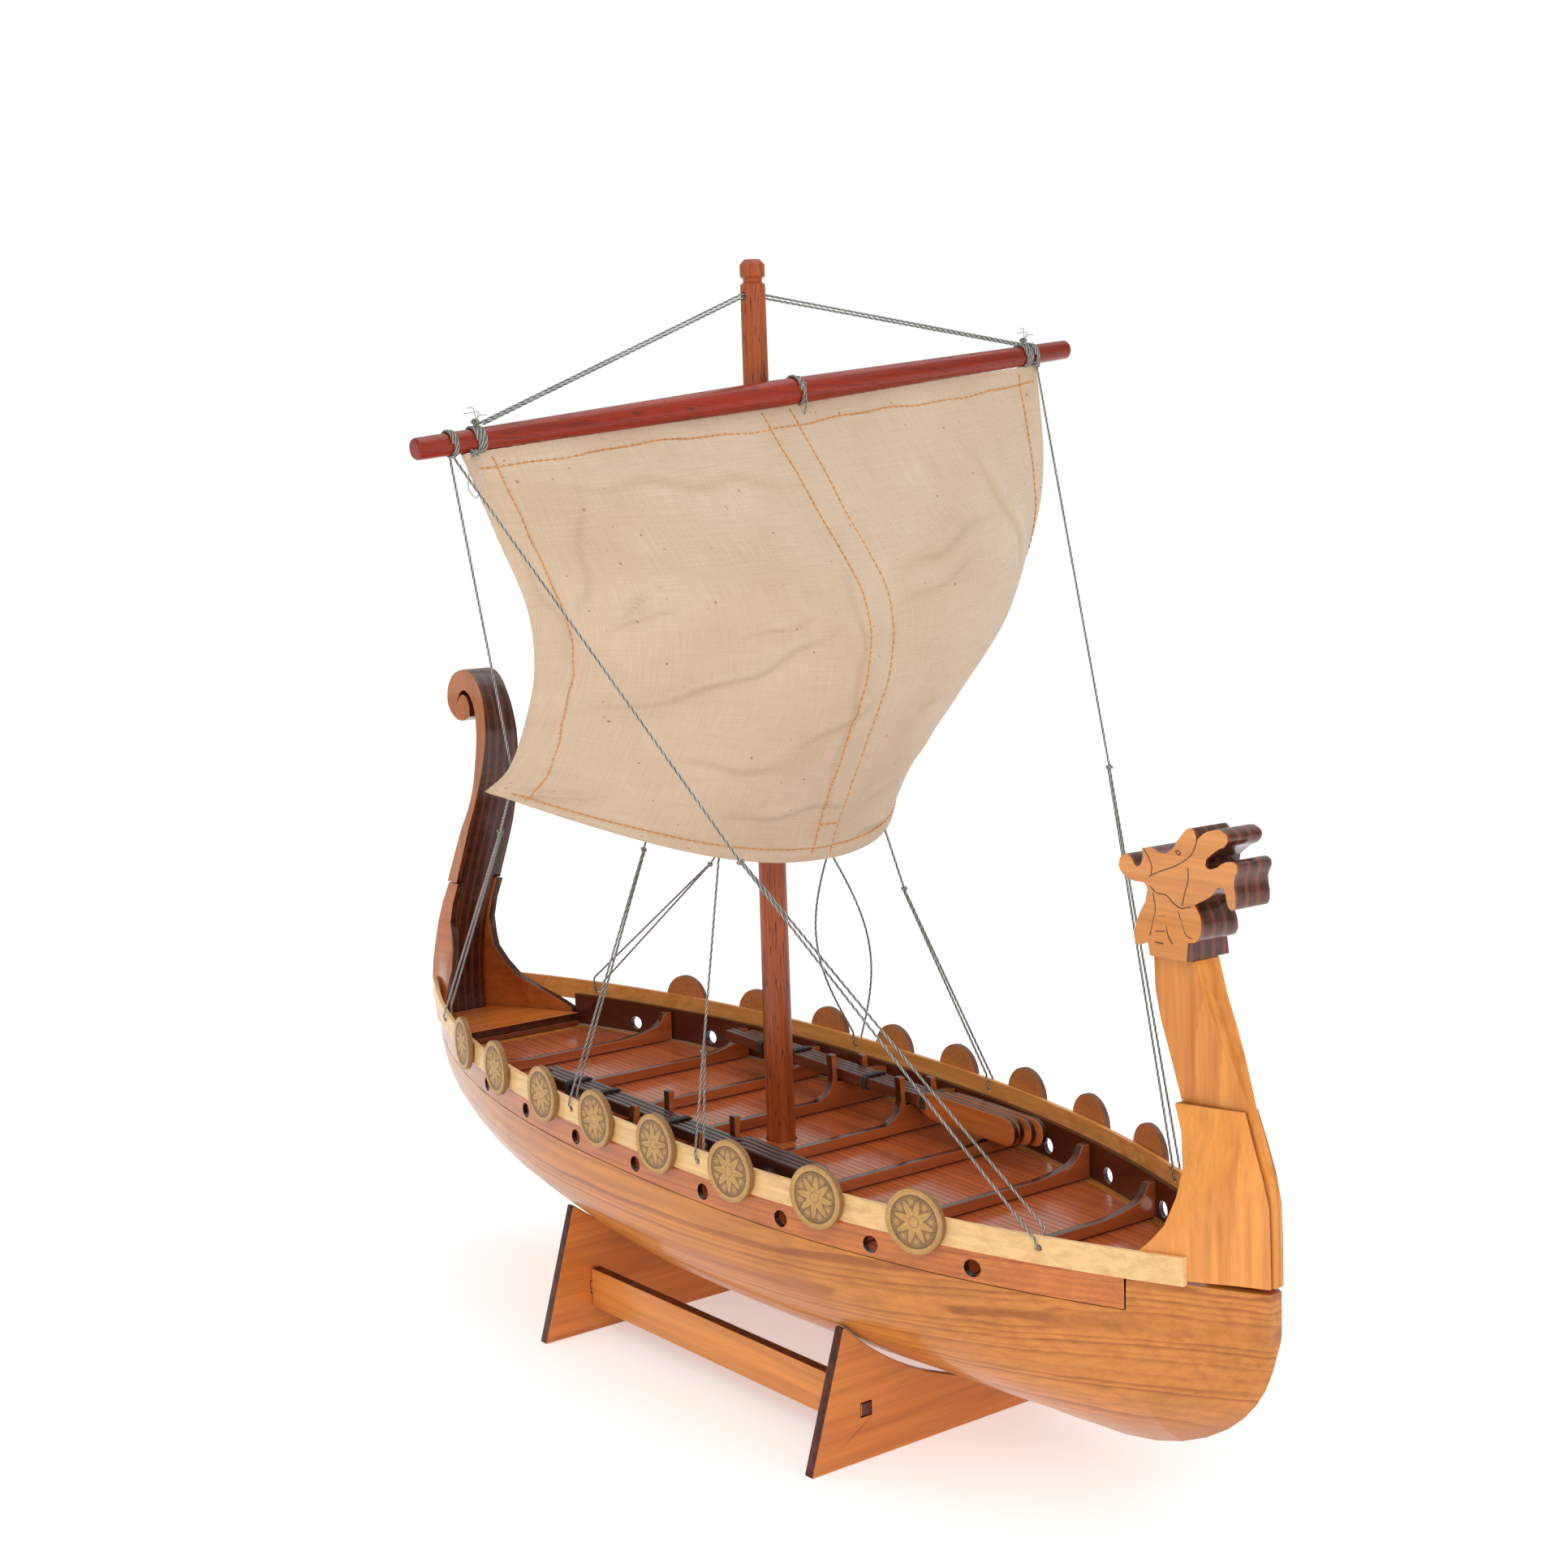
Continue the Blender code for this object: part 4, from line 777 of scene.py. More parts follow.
def mesh_piece(name: str, points: np.ndarray, faces: Sequence, material: bpy.types.Material,
               smooth: bool = True) -> bpy.types.Object:
    """Makes an object from points in millimetres and faces, with its normals outward.

    Args:
        name: The piece's name.
        points: Its points, in millimetres.
        faces: Corner numbers of each face.
        material: The piece's material.
        smooth: Whether its faces shade smoothly.

    Returns:
        The object, riding on the ship.
    """
    mesh = bpy.data.meshes.new(name)
    mesh.from_pydata((points.reshape(-1, 3) * MM).tolist(), [], faces)
    mesh.polygons.foreach_set("use_smooth", np.full(len(mesh.polygons), smooth))
    mesh.materials.append(material)
    mesh.update()
    piece = bpy.data.objects.new(name, mesh)
    bpy.context.scene.collection.objects.link(piece)
    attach(piece, "ship")
    return piece


def point_values(piece: bpy.types.Object, name: str, values: np.ndarray) -> None:
    """Stores one number a point as a named attribute."""
    layer = piece.data.attributes.new(name, "FLOAT", "POINT")
    layer.data.foreach_set("value", values.ravel().astype(np.float32))


def swept(path: np.ndarray) -> tuple[np.ndarray, np.ndarray, np.ndarray]:
    """Directions across a path that turn with it as little as they can.

    Args:
        path: Points of the path.

    Returns:
        The tangent and two cross directions at each point.  The first cross direction is
        carried from point to point and squared to the tangent.
    """
    tangent = np.gradient(path, axis=0)
    tangent /= np.linalg.norm(tangent, axis=1, keepdims=True)
    across = np.empty_like(path)
    start = np.cross(tangent[0], (0.31, 0.83, 0.46))
    for i, along in enumerate(tangent):
        start = start - along * start.dot(along)
        start = start / np.linalg.norm(start)
        across[i] = start
    return tangent, across, np.cross(tangent, across)


def resample(points: np.ndarray, pitch: float, rounding: int = 0) -> np.ndarray:
    """Evenly spaced points along a polyline, with its corners eased.

    Args:
        points: Corners of the line.
        pitch: Distance between the new points.
        rounding: How many times neighbours are averaged.

    Returns:
        The new points, first and last kept.
    """
    run = np.concatenate([[0], np.cumsum(np.linalg.norm(np.diff(points, axis=0), axis=1))])
    count = max(int(run[-1] / pitch), 2) + 1
    at = np.linspace(0, run[-1], count)
    line = np.stack([np.interp(at, run, points[:, k]) for k in range(3)], axis=1)
    for _ in range(rounding):
        line[1:-1] = (line[:-2] + 2 * line[1:-1] + line[2:]) / 4
    return line


def twisted(name: str, path: np.ndarray, radius: float, material: bpy.types.Material,
            lay: float = 2.4, strands: int = 3, sides: int = 12) -> bpy.types.Object:
    """A laid cord along a path: round strands that turn about the middle.

    The radius at angle a and distance s along is radius * (1 - groove * (1 - c) / 2) with
    c = cos(strands * (a - 2 pi s / (lay * strands))), so the strands stand up as a helix.
    Both ends are drawn in and closed.

    Args:
        name: The piece's name.
        path: Points of the middle line, in millimetres.
        radius: Radius over the strands.
        material: The piece's material.
        lay: Length over which one strand gives way to the next.
        strands: How many strands.
        sides: Points round the cord.

    Returns:
        The cord.
    """
    groove, end_share = 0.2, 0.45
    _, first, second = swept(path)
    step = np.concatenate([[0], np.cumsum(np.linalg.norm(np.diff(path, axis=0), axis=1))])
    angle = np.arange(sides) * FULL_TURN / sides
    wave = np.cos(strands * (angle[None, :] - FULL_TURN * step[:, None] / lay / strands))
    size = radius * (1 - groove * (1 - wave) / 2)
    size[[0, -1]] *= end_share
    ring = (path[:, None] + first[:, None] * (size * np.cos(angle))[..., None]
            + second[:, None] * (size * np.sin(angle))[..., None])
    faces = grid_faces(len(path), sides, True).tolist()
    faces += [list(range(sides))[::-1], list(range((len(path) - 1) * sides, len(path) * sides))]
    piece = mesh_piece(name, ring, faces, material)
    # The groove share drives painted shade in the lay between strands.
    point_values(piece, "groove", (1 - wave) / 2)
    return piece


# ---- pieces kept from the frame, dressed -----------------------------------------------

@dataclass
class Joinery:
    """The wooden parts whose shape the frame already holds: finish and eased edges."""

    edge_round: float = 0.35
    weld: float = 0.02
    sharp: float = math.radians(38)
    dressing: dict[str, str] = field(default_factory=lambda: {
        "hull": "hull_pine", "main_deck": "deck_veneer", "stern_platform": "platform_ply",
        "stern_beam": "beam_dark", "starboard_bulwark": "starboard_bulwark_red",
        "port_bulwark": "port_bulwark_red", "starboard_gunwale_strip": "strip_cream",
        "port_gunwale_strip": "strip_orange", "bow_stem": "stem_pine",
        "bow_cheek_starboard": "cheek_ply", "bow_cheek_port": "cheek_ply",
        "dragon_head": "head_ply", "stern_post": "post_ply",
        "stern_cheek_starboard": "stern_cheek", "stern_cheek_port": "stern_cheek",
        "mast": "mast_mahogany", "yard": "yard_mahogany", "stand_front_plate": "stand_ply",
        "stand_rear_plate": "stand_ply", "stand_starboard_rail": "rail_ply",
        "stand_port_rail": "rail_ply", **{f"rib_{i}": "rib_ply" for i in range(1, 9)}})
    tight: dict[str, float] = field(default_factory=lambda: {
        "main_deck": 0.15, "hull": 0.25, "starboard_bulwark": 0.15, "port_bulwark": 0.15,
        "mast": 0.15, "yard": 0.2})

    def build(self, finishes: Finishes) -> None:
        """Gives each node its material and a small round on its arrises.

        Args:
            finishes: The ship's finishes.
        """
        for node, finish in self.dressing.items():
            width = self.tight.get(node, self.edge_round)
            self._dress(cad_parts[node], finishes[finish], width)
        log.info("joinery: %d wooden parts dressed", len(self.dressing))

    def _dress(self, part: bpy.types.Object, material: bpy.types.Material,
               width: float) -> None:
        """Puts a finish and edge rounding on one node, leaving its points alone.

        Args:
            part: The node to dress.
            material: Its finish.
            width: Width of the eased edge, in millimetres.
        """
        part.data.materials.clear()
        part.data.materials.append(material)
        part.data.polygons.foreach_set("use_smooth", np.full(len(part.data.polygons), True))
        part.modifiers.new("join", "WELD").merge_threshold = self.weld * MM
        bevel = part.modifiers.new("eased", "BEVEL")
        bevel.width = width * MM
        bevel.segments = 2
        bevel.limit_method = "ANGLE"
        bevel.angle_limit = self.sharp
        bevel.use_clamp_overlap = True
        part.modifiers.new("shading", "WEIGHTED_NORMAL").weight = 60


@dataclass
class HeadMarks:
    """Lines burnt into both faces of the beast's head: brow, eye, jaw, neck and fins."""

    face_y: float = 6.86
    base_y: float = 8.5
    taper_low: float = 165.0
    taper_high: float = 178.0
    line_radius: float = 0.17
    line_pitch: float = 0.35
    marks: dict[str, tuple] = field(default_factory=lambda: {
        "curl": ((178.9, 194.2), (180.9, 192.2), (182.5, 189.3), (181.9, 187.0)),
        "brow": ((181.0, 186.4), (185.1, 188.3), (189.8, 189.9), (193.9, 191.9), (196.9, 194.1),
                 (198.6, 197.2), (198.7, 199.2)),
        "eye": ((190.9, 194.6), (192.2, 194.9), (193.3, 193.8), (192.0, 193.2), (190.9, 194.6)),
        "jaw": ((181.3, 184.0), (183.8, 182.1), (187.6, 182.2), (189.7, 180.3), (192.6, 178.9),
                (196.4, 179.9)),
        "face": ((195.4, 190.5), (195.6, 187.2), (194.1, 183.1), (193.2, 179.6)),
        "neck": ((182.6, 182.1), (183.6, 177.8), (182.7, 173.2), (182.2, 170.4)),
        "fin": ((191.7, 178.3), (193.1, 175.4), (195.1, 171.9), (197.4, 171.4)),
        "leaf": ((187.7, 174.3), (188.6, 171.3), (190.7, 169.1)),
        "gill_high": ((184.2, 175.8), (187.5, 176.5)),
        "gill_middle": ((183.9, 171.8), (187.8, 172.3)),
        "gill_low": ((184.1, 168.9), (187.4, 168.8))})

    def build(self, finishes: Finishes) -> None:
        """Lays each mark as a thin charred line sunk in the face it is burnt into.

        Args:
            finishes: The ship's finishes.
        """
        for word, corners in self.marks.items():
            for side in Side:
                flat = np.asarray(corners, float)
                share = np.clip((flat[:, 1] - self.taper_low)
                                / (self.taper_high - self.taper_low), 0, 1)
                share = share * share * (3 - 2 * share)
                y = side.value * (self.base_y + (self.face_y - self.base_y) * share)
                path = resample(np.stack([flat[:, 0], y, flat[:, 1]], axis=1),
                                self.line_pitch, 10)
                twisted(f"{side.word}_head_{word}", path, self.line_radius,
                        finishes["burn_mark"], sides=8)
        log.info("head: %d burnt marks a side", len(self.marks))


# ---- sail ------------------------------------------------------------------------------

@dataclass
class Sail:
    """The square sail: one bellied sheet with turned hems, a centre strip and stitching."""

    columns: int = 180
    rows: int = 130
    thickness: float = 0.7
    hem: float = 8.5
    half_head: float = 116.0
    half_foot: float = 102.0
    drop: float = 178.0
    hem_rise: float = 0.32
    roll_rise: float = 1.045
    strip_half: float = 5.2
    stitch_pitch: float = 2.5
    thread_radius: float = 0.24
    folds: tuple = ((-100, 113, -17, 68, 1.9, 2.6), (-60, 76, -29, 66, 1.0, 1.6),
                    (-95, 72, -74, 59, 1.3, 1.7), (-90, 66, -80, 56, 0.9, 1.0),
                    (-101, 170, -82, 149, 1.3, 2.0), (-101, 15, -4, 20, 0.9, 2.6),
                    (10, 52, 66, 40, 1.3, 3.4), (4, 64, 50, 54, 0.9, 2.6),
                    (-82, 16, -98, 66, 0.9, 2.4), (-50, 151, 6, 140, 0.7, 2.2),
                    (-108, 30, -96, 92, 1.2, 3.0), (-30, 120, 2, 100, 0.8, 2.0),
                    (-70, 128, -30, 126, 0.7, 2.6), (24, 110, 70, 96, 0.9, 3.0),
                    (14, 146, 60, 132, 1.2, 2.6), (18, 164, 52, 158, 1.1, 2.0),
                    (-8, 40, -2, 150, 0.5, 3.4), (70, 20, 88, 74, 0.8, 3.0))
    starboard_leech: tuple = ((12.2, -116.5, 307.3), (10.5, -106, 285), (8.5, -94.5, 262),
                              (2, -88.5, 243), (-6, -87, 227), (-15, -89, 210), (-23, -93.5, 202))
    seam: tuple = ((12.2, 0, 320.0), (38, 0, 289), (60, 0, 262), (61, 0, 238), (50, 0, 214),
                   (36, 0, 190), (30, 0, 174.5))
    port_leech: tuple = ((12.2, 116, 334.4), (12, 118.5, 305), (10, 115.5, 281), (6.5, 106, 258),
                         (0, 87, 235), (-7, 68, 214), (-12, 60, 196))

    @staticmethod
    def rail(corners: Sequence, v: np.ndarray) -> np.ndarray:
        """A smooth curve through evenly spaced points, read at each v from 0 to 1.

        Args:
            corners: Evenly spaced points that the curve runs through.
            v: Where to read it, 0 to 1.

        Returns:
            The points read.
        """
        given = np.asarray(corners, float)
        given = np.vstack([given[:1], given, given[-1:]])
        spot = np.clip(v, 0, 0.9999) * (len(given) - 3)
        i = spot.astype(int)
        t = (spot - i)[..., None]
        p0, p1, p2, p3 = (given[i + d] for d in range(4))
        return (p1 + (p2 - p0) * 0.5 * t + (p0 - p1 * 2.5 + p2 * 2 - p3 * 0.5) * t * t
                + (p1 * 1.5 - p2 * 1.5 + p3 * 0.5 - p0 * 0.5) * t * t * t)

    def surface(self, u: np.ndarray, v: np.ndarray) -> np.ndarray:
        """The sail's middle surface, u from -1 (starboard) to 1 (port), v from head to foot.

        Between leech and centre the belly follows 1 - |u| ** n, n growing from 2.2 at the
        head to 3 at the foot, and the drop 1 - |u| ** (1 + v).

        Args:
            u: Across the sail, -1 at starboard to 1 at port.
            v: Down the sail, 0 at the head to 1 at the foot.

        Returns:
            Points in millimetres.
        """
        port = self.rail(self.port_leech, v)
        edge = np.where((u > 0)[..., None], port, self.rail(self.starboard_leech, v))
        centre = self.rail(self.seam, v)
        out = np.abs(u)
        belly = 1 - out ** (2.2 + 0.8 * v)
        drop = 1 - out ** (1 + v)
        return np.stack([edge[..., 0] + (centre[..., 0] - edge[..., 0]) * belly,
                         centre[..., 1] + (edge[..., 1] - centre[..., 1]) * out,
                         edge[..., 2] + (centre[..., 2] - edge[..., 2]) * drop], axis=-1)

    def normals(self, u: np.ndarray, v: np.ndarray) -> np.ndarray:
        """Unit normals of the surface, pointing forward.

        Args:
            u: Across the sail, -1 at starboard to 1 at port.
            v: Down the sail, 0 at the head to 1 at the foot.

        Returns:
            One unit normal a point.
        """
        step = 0.01
        du = (self.surface(np.clip(u + step, -1, 1), v) - self.surface(np.clip(u - step, -1, 1), v))
        dv = (self.surface(u, np.clip(v + step, 0, 1)) - self.surface(u, np.clip(v - step, 0, 1)))
        cross = np.cross(dv, du)
        cross /= np.linalg.norm(cross, axis=-1, keepdims=True)
        return cross * np.sign(cross[..., :1] + 1e-9)

    def cloth_place(self, u: np.ndarray, v: np.ndarray) -> tuple[np.ndarray, np.ndarray]:
        """Where a point lies on the flat cloth, in millimetres: across and down."""
        return u * (self.half_head + (self.half_foot - self.half_head) * v), v * self.drop

    def wrinkles(self, u: np.ndarray, v: np.ndarray) -> tuple[np.ndarray, np.ndarray]:
        """Folds and pulls in the cloth.

        Each fold is a ridge along a short line on the flat cloth: height times a bell curve
        across the line and a bell curve along it.  Slow waves are sums of sines.

        Args:
            u: Across the sail, -1 at starboard to 1 at port.
            v: Down the sail, 0 at the head to 1 at the foot.

        Returns:
            The lift along the normal in millimetres, and a share of painted shade in the valley
            beside each fold.
        """
        across, down = self.cloth_place(u, v)
        lift = (0.35 * np.sin(across / 11 + 1.3 * np.sin(down / 23)) * np.sin(down / 17 + 0.6)
                + 0.25 * np.sin(across / 6.3 + down / 9.0) * np.sin(down / 31 + across / 40))
        crease = np.zeros_like(lift)
        for a0, d0, a1, d1, height, width in self.folds:
            length = math.hypot(a1 - a0, d1 - d0)
            ux, uy = (a1 - a0) / length, (d1 - d0) / length
            along = (across - a0) * ux + (down - d0) * uy
            off = (down - d0) * ux - (across - a0) * uy + 1.2 * np.sin(along / 5.0)
            reach = np.exp(-((along - length / 2) / (length * 0.42)) ** 4)
            ridge = np.exp(-(off / width) ** 2)
            lift += height * reach * (ridge - 0.55 * np.exp(-((off - 1.9 * width) / width) ** 2))
            # Where painted shade falls: the valley beside the ridge.
            crease += reach * np.exp(-((off - 1.1 * width) / (0.5 * width)) ** 2)
        calm = np.clip(np.minimum(1 - np.abs(u), np.minimum(v, 1 - v)) / 0.09, 0, 1)
        return lift * (0.25 + 0.75 * calm), np.clip(crease, 0, 1)

    def hem_height(self, u: np.ndarray, v: np.ndarray) -> np.ndarray:
        """How far the doubled cloth of hems, centre strip and rolled leeches stands up.

        Args:
            u: Across the sail, -1 at starboard to 1 at port.
            v: Down the sail, 0 at the head to 1 at the foot.

        Returns:
            The height in millimetres.
        """
        across, down = self.cloth_place(u, v)
        to_leech = (1 - np.abs(u)) * 110
        inside = np.minimum(to_leech, np.minimum(down, self.drop - down))
        ease = 0.8
        hem = np.clip((self.hem - inside) / ease, 0, 1)
        roll = np.exp(-((to_leech - 1.5) / 1.1) ** 2)
        strip = np.clip((self.strip_half - np.abs(across + 1)) / ease, 0, 1)
        return self.hem_rise * np.maximum(hem, strip) + self.roll_rise * roll

    def sheet_point(self, u: np.ndarray, v: np.ndarray, proud: float) -> np.ndarray:
        """A point on the face of the cloth, proud of its middle by a distance.

        Args:
            u: Across the sail, -1 at starboard to 1 at port.
            v: Down the sail, 0 at the head to 1 at the foot.
            proud: Distance from the middle, negative at the back.

        Returns:
            Points in millimetres.
        """
        lift, _ = self.wrinkles(u, v)
        puff = self.hem_height(u, v)
        normal = self.normals(u, v)
        return self.surface(u, v) + normal * (lift + proud + np.sign(proud) * puff)[..., None]

    def build(self, finishes: Finishes) -> bpy.types.Object:
        """Makes the sheet: a front and a back grid joined round the edge.

        Args:
            finishes: The ship's finishes.

        Returns:
            The sheet.
        """
        v, u = np.meshgrid(np.linspace(0, 1, self.rows + 1), np.linspace(-1, 1, self.columns + 1),
                           indexing="ij")
        half = self.thickness / 2
        points = np.concatenate([self.sheet_point(u, v, side).reshape(-1, 3)
                                 for side in (half, -half)])
        faces = self._outward(points, self._sheet_faces(*u.shape))
        sail = mesh_piece("sail_cloth", points, faces.tolist(), finishes["canvas"])
        # Mask of painted shade for the canvas finish.
        _, crease = self.wrinkles(u, v)
        point_values(sail, "crease", np.concatenate([crease.ravel(), crease.ravel()]))
        self._map_cloth(sail, u, v)
        ease = sail.modifiers.new("eased", "BEVEL")
        ease.width = 0.2 * MM
        ease.segments = 2
        ease.limit_method = "ANGLE"
        ease.angle_limit = math.radians(55)
        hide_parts("sail")
        stitches = self.build_stitches(finishes)
        log.info("sail: %d points, %d rows of stitching", len(points), len(stitches))
        return sail

    @staticmethod
    def _sheet_faces(rows: int, columns: int) -> np.ndarray:
        """Quads of the front grid, the back grid after it, and the wall round both.

        Args:
            rows: Rows of points in a grid.
            columns: Points in a row.

        Returns:
            The quads.
        """
        quads = grid_faces(rows, columns, False)
        count = rows * columns
        grid = np.arange(count).reshape(rows, columns)
        rim = np.concatenate([grid[0], grid[1:, -1], grid[-1, -2::-1], grid[-2:0:-1, 0]])
        after = np.roll(rim, -1)
        walls = np.stack([rim, after, after + count, rim + count], axis=-1)
        return np.concatenate([quads[:, ::-1], quads + count, walls[:, ::-1]])

    def _map_cloth(self, sail: bpy.types.Object, u: np.ndarray, v: np.ndarray) -> None:
        """Gives the sheet a map in metres of flat cloth, for its weave.

        Args:
            sail: The sheet.
            u: Across the sail, -1 at starboard to 1 at port.
            v: Down the sail, 0 at the head to 1 at the foot.
        """
        flat = np.stack(self.cloth_place(u, v), axis=-1).reshape(-1, 2) * MM
        flat = np.concatenate([flat, flat])
        corners = np.empty(len(sail.data.loops), np.int32)
        sail.data.loops.foreach_get("vertex_index", corners)
        layer = sail.data.uv_layers.new(name="cloth")
        layer.data.foreach_set("uv", flat[corners].ravel().astype(np.float32))

    @staticmethod
    def _outward(points: np.ndarray, faces: np.ndarray) -> np.ndarray:
        """Turns every face if the closed sheet's volume comes out negative.

        Args:
            points: The sheet's points.
            faces: Its quads.

        Returns:
            The quads, all facing out.
        """
        a, b, c, d = (points[faces[:, k]] for k in range(4))
        volume = (np.einsum("ij,ij->i", a, np.cross(b, c)) + np.einsum(
            "ij,ij->i", a, np.cross(c, d))).sum()
        return faces if volume > 0 else faces[:, ::-1]

    def build_stitches(self, finishes: Finishes) -> list[bpy.types.Object]:
        """Rows of stitching: a thread that dips at each stitch, on both faces of the cloth.

        Args:
            finishes: The ship's finishes.

        Returns:
            The rows of thread.
        """
        inset = 0.075
        t = np.linspace(0, 1, 400)
        wander = 0.003 * np.sin(t * 17) + 0.0012 * np.sin(t * 61)
        foot = 1 - 0.05 - 0.012 * np.sin(t * 3.1)
        rows = {
            "head": (-0.98 + 1.96 * t, 0.045 + wander),
            "leech_starboard": (-1 + inset + wander, 0.02 + 0.95 * t),
            "leech_port": (1 - inset - wander, 0.02 + 0.95 * t),
            "foot": (-0.96 + 1.92 * t, foot),
            "strip_starboard": (-0.058 + wander * 0.8, 0.01 + 0.96 * t),
            "strip_port": (0.04 + wander * 0.8, 0.01 + 0.96 * t),
            "patch_top": (-0.06 + 0.1 * t, 0.86 + 0 * t),
        }
        made = []
        for word, (u, v) in rows.items():
            for face, sign in (("front", 1.0), ("back", -1.0)):
                made.append(self._stitch_row(f"stitches_{word}_{face}", u, v, sign, finishes))
        return made

    def _stitch_row(self, name: str, u: np.ndarray, v: np.ndarray, sign: float,
                    finishes: Finishes) -> bpy.types.Object:
        """One row of stitches on one face: the thread's height follows |sin| of the run.

        Args:
            name: The piece's name.
            u: Across the sail, -1 at starboard to 1 at port.
            v: Down the sail, 0 at the head to 1 at the foot.
            sign: 1 for the front of the cloth, -1 for the back.
            finishes: The ship's finishes.

        Returns:
            The row of thread.
        """
        line = self.sheet_point(u, np.clip(v, 0, 1), sign * self.thickness / 2)
        normal = self.normals(u, np.clip(v, 0, 1)) * sign
        run = np.concatenate([[0], np.cumsum(np.linalg.norm(np.diff(line, axis=0), axis=1))])
        at = np.arange(0, run[-1], 0.42)
        line = np.stack([np.interp(at, run, line[:, k]) for k in range(3)], axis=1)
        normal = np.stack([np.interp(at, run, normal[:, k]) for k in range(3)], axis=1)
        height = 0.42 * np.abs(np.sin(math.pi * at / self.stitch_pitch)) - 0.2
        return twisted(name, line + normal * height[:, None], self.thread_radius,
                       finishes["gold_thread"], lay=1.6, strands=2, sides=6)


# ---- rigging ---------------------------------------------------------------------------

@dataclass
class Rigging:
    """Lifts, braces and shrouds of twisted twine, with their knots and lashings."""

    radius: float = 0.4
    mast_x: float = 2.4
    mast_head_radius: float = 4.1
    lift_z: float = 356.5
    shroud_z: float = 295.0
    yard_z: float = 324.6
    yard_x: float = 11.43
    tilt: float = math.radians(6.7)
    tie_reach: float = 112.0
    yard_thick: float = 4.5
    yard_taper: float = 1.2 / 133
    mast_step_z: float = 75.1
    mast_foot_radius: float = 5.0
    mast_taper: float = 0.9 / 293.1
    hole_drop: float = 3.4
    point_pitch: float = 0.42
    strip: float = 1.6
    gap: float = 0.3
    holes: dict = field(default_factory=lambda: {
        Side.STARBOARD: (-160, -31, 41, 163), Side.PORT: (-163, -31, 41, 147)})
    brace_tie: dict = field(default_factory=lambda: {
        Side.STARBOARD: (121.0, 1.2), Side.PORT: (115.5, 2.8)})
    fore_knot: dict = field(default_factory=lambda: {
        Side.STARBOARD: (91, -78.3, 189.6), Side.PORT: (89.9, 71.4, 201.8)})
    aft_knots: dict = field(default_factory=lambda: {
        Side.STARBOARD: ((-17, -87, 205.7), (-42.2, -78.1, 185.2)),
        Side.PORT: ((-117.6, 60.2, 148.8),)})
    shroud_knots: dict = field(default_factory=lambda: {
        (Side.STARBOARD, "fore"): (34, -53.5, 120), (Side.STARBOARD, "aft"): (-17.8, -38, 177),
        (Side.PORT, "fore"): (25.1, 38.4, 158.8), (Side.PORT, "aft"): (-17.5, 40.6, 167)})
    slack: dict = field(default_factory=lambda: {(Side.PORT, "aft"): (4.8, 7.2, 0.0)})

    def yard_point(self, y: float, forward: float = 0.0, up: float = 0.0) -> np.ndarray:
        """A point at y along the yard, moved forward and up from its centre line."""
        c, s = math.cos(self.tilt), math.sin(self.tilt)
        return np.array([self.yard_x + forward, y * c - up * s, self.yard_z + y * s + up * c])

    def yard_radius(self, y: float | np.ndarray) -> float | np.ndarray:
        """Radius of the yard at y from its middle."""
        return self.yard_thick - self.yard_taper * np.abs(y)

    def hole_turn(self, side: Side, x: float) -> list[np.ndarray]:
        """The bend of a line round the rail: outside, through its hole, inside.

        Args:
            side: Side of the ship.
            x: The hole's place along the rail.

        Returns:
            Points from outside the rail to inside.
        """
        s, wall, z = side.value, LINES.half_breadth(x), LINES.gunwale(x) - self.hole_drop
        clear = self.radius + 0.35
        out_y, in_y = s * (wall + self.gap + self.strip + clear), s * (wall - clear)
        rows = ((out_y, 2.4), (out_y, 0.9), (s * (wall + self.gap + self.strip), 0.1),
                (s * (wall + self.gap), 0.1), (in_y, 0.9), (in_y, 2.4), (in_y, 5.4))
        return [np.array([x, y, z + rise]) for y, rise in rows]

    @staticmethod
    def strand(start: np.ndarray, end: np.ndarray, slack: Triple = ZERO) -> list[np.ndarray]:
        """Points from start to end, bowed by sin of the way times the slack."""
        t = np.linspace(0, 1, 25)[:, None]
        return list(start + (end - start) * t + np.sin(math.pi * t) * np.asarray(slack, float))

    def doubled(self, start: np.ndarray, kinks: Sequence, side: Side, hole: float,
                slack: Triple = ZERO) -> tuple[np.ndarray, np.ndarray]:
        """A line from start to its knot, down outside the rail and back up inside.

        Args:
            start: Where the line is made fast.
            kinks: Points it bends at, the knot last.
            side: Side of the ship.
            hole: The hole's place along the rail.
            slack: How far the lower strands bow.

        Returns:
            The route and the knot's place.
        """
        turn = self.hole_turn(side, hole)
        corners = [start, *(np.asarray(k, float) for k in kinks)]
        knot = corners[-1]
        back = knot + np.array([0, -side.value * 1.5 * self.radius, 0])
        route = [start]
        for low, high in zip(corners, corners[1:]):
            route += self.strand(low, high)[1:]
        route += self.strand(knot, turn[0], slack)[1:-1] + turn
        route += self.strand(turn[-1], back, tuple(-c for c in slack))[1:]
        return np.array(route), knot

    def line(self, name: str, route: np.ndarray, finishes: Finishes,
             knots: Sequence[bpy.types.Object]) -> None:
        """Args:
            name: The line's name in the frame.
            route: Points along it.
            finishes: The ship's finishes.
            knots: Knots that belong to it; not used.
        """
        path = resample(route, self.point_pitch, 2)
        cord = twisted(f"{name}_cord", path, self.radius, finishes["grey_twine"])
        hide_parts(name)

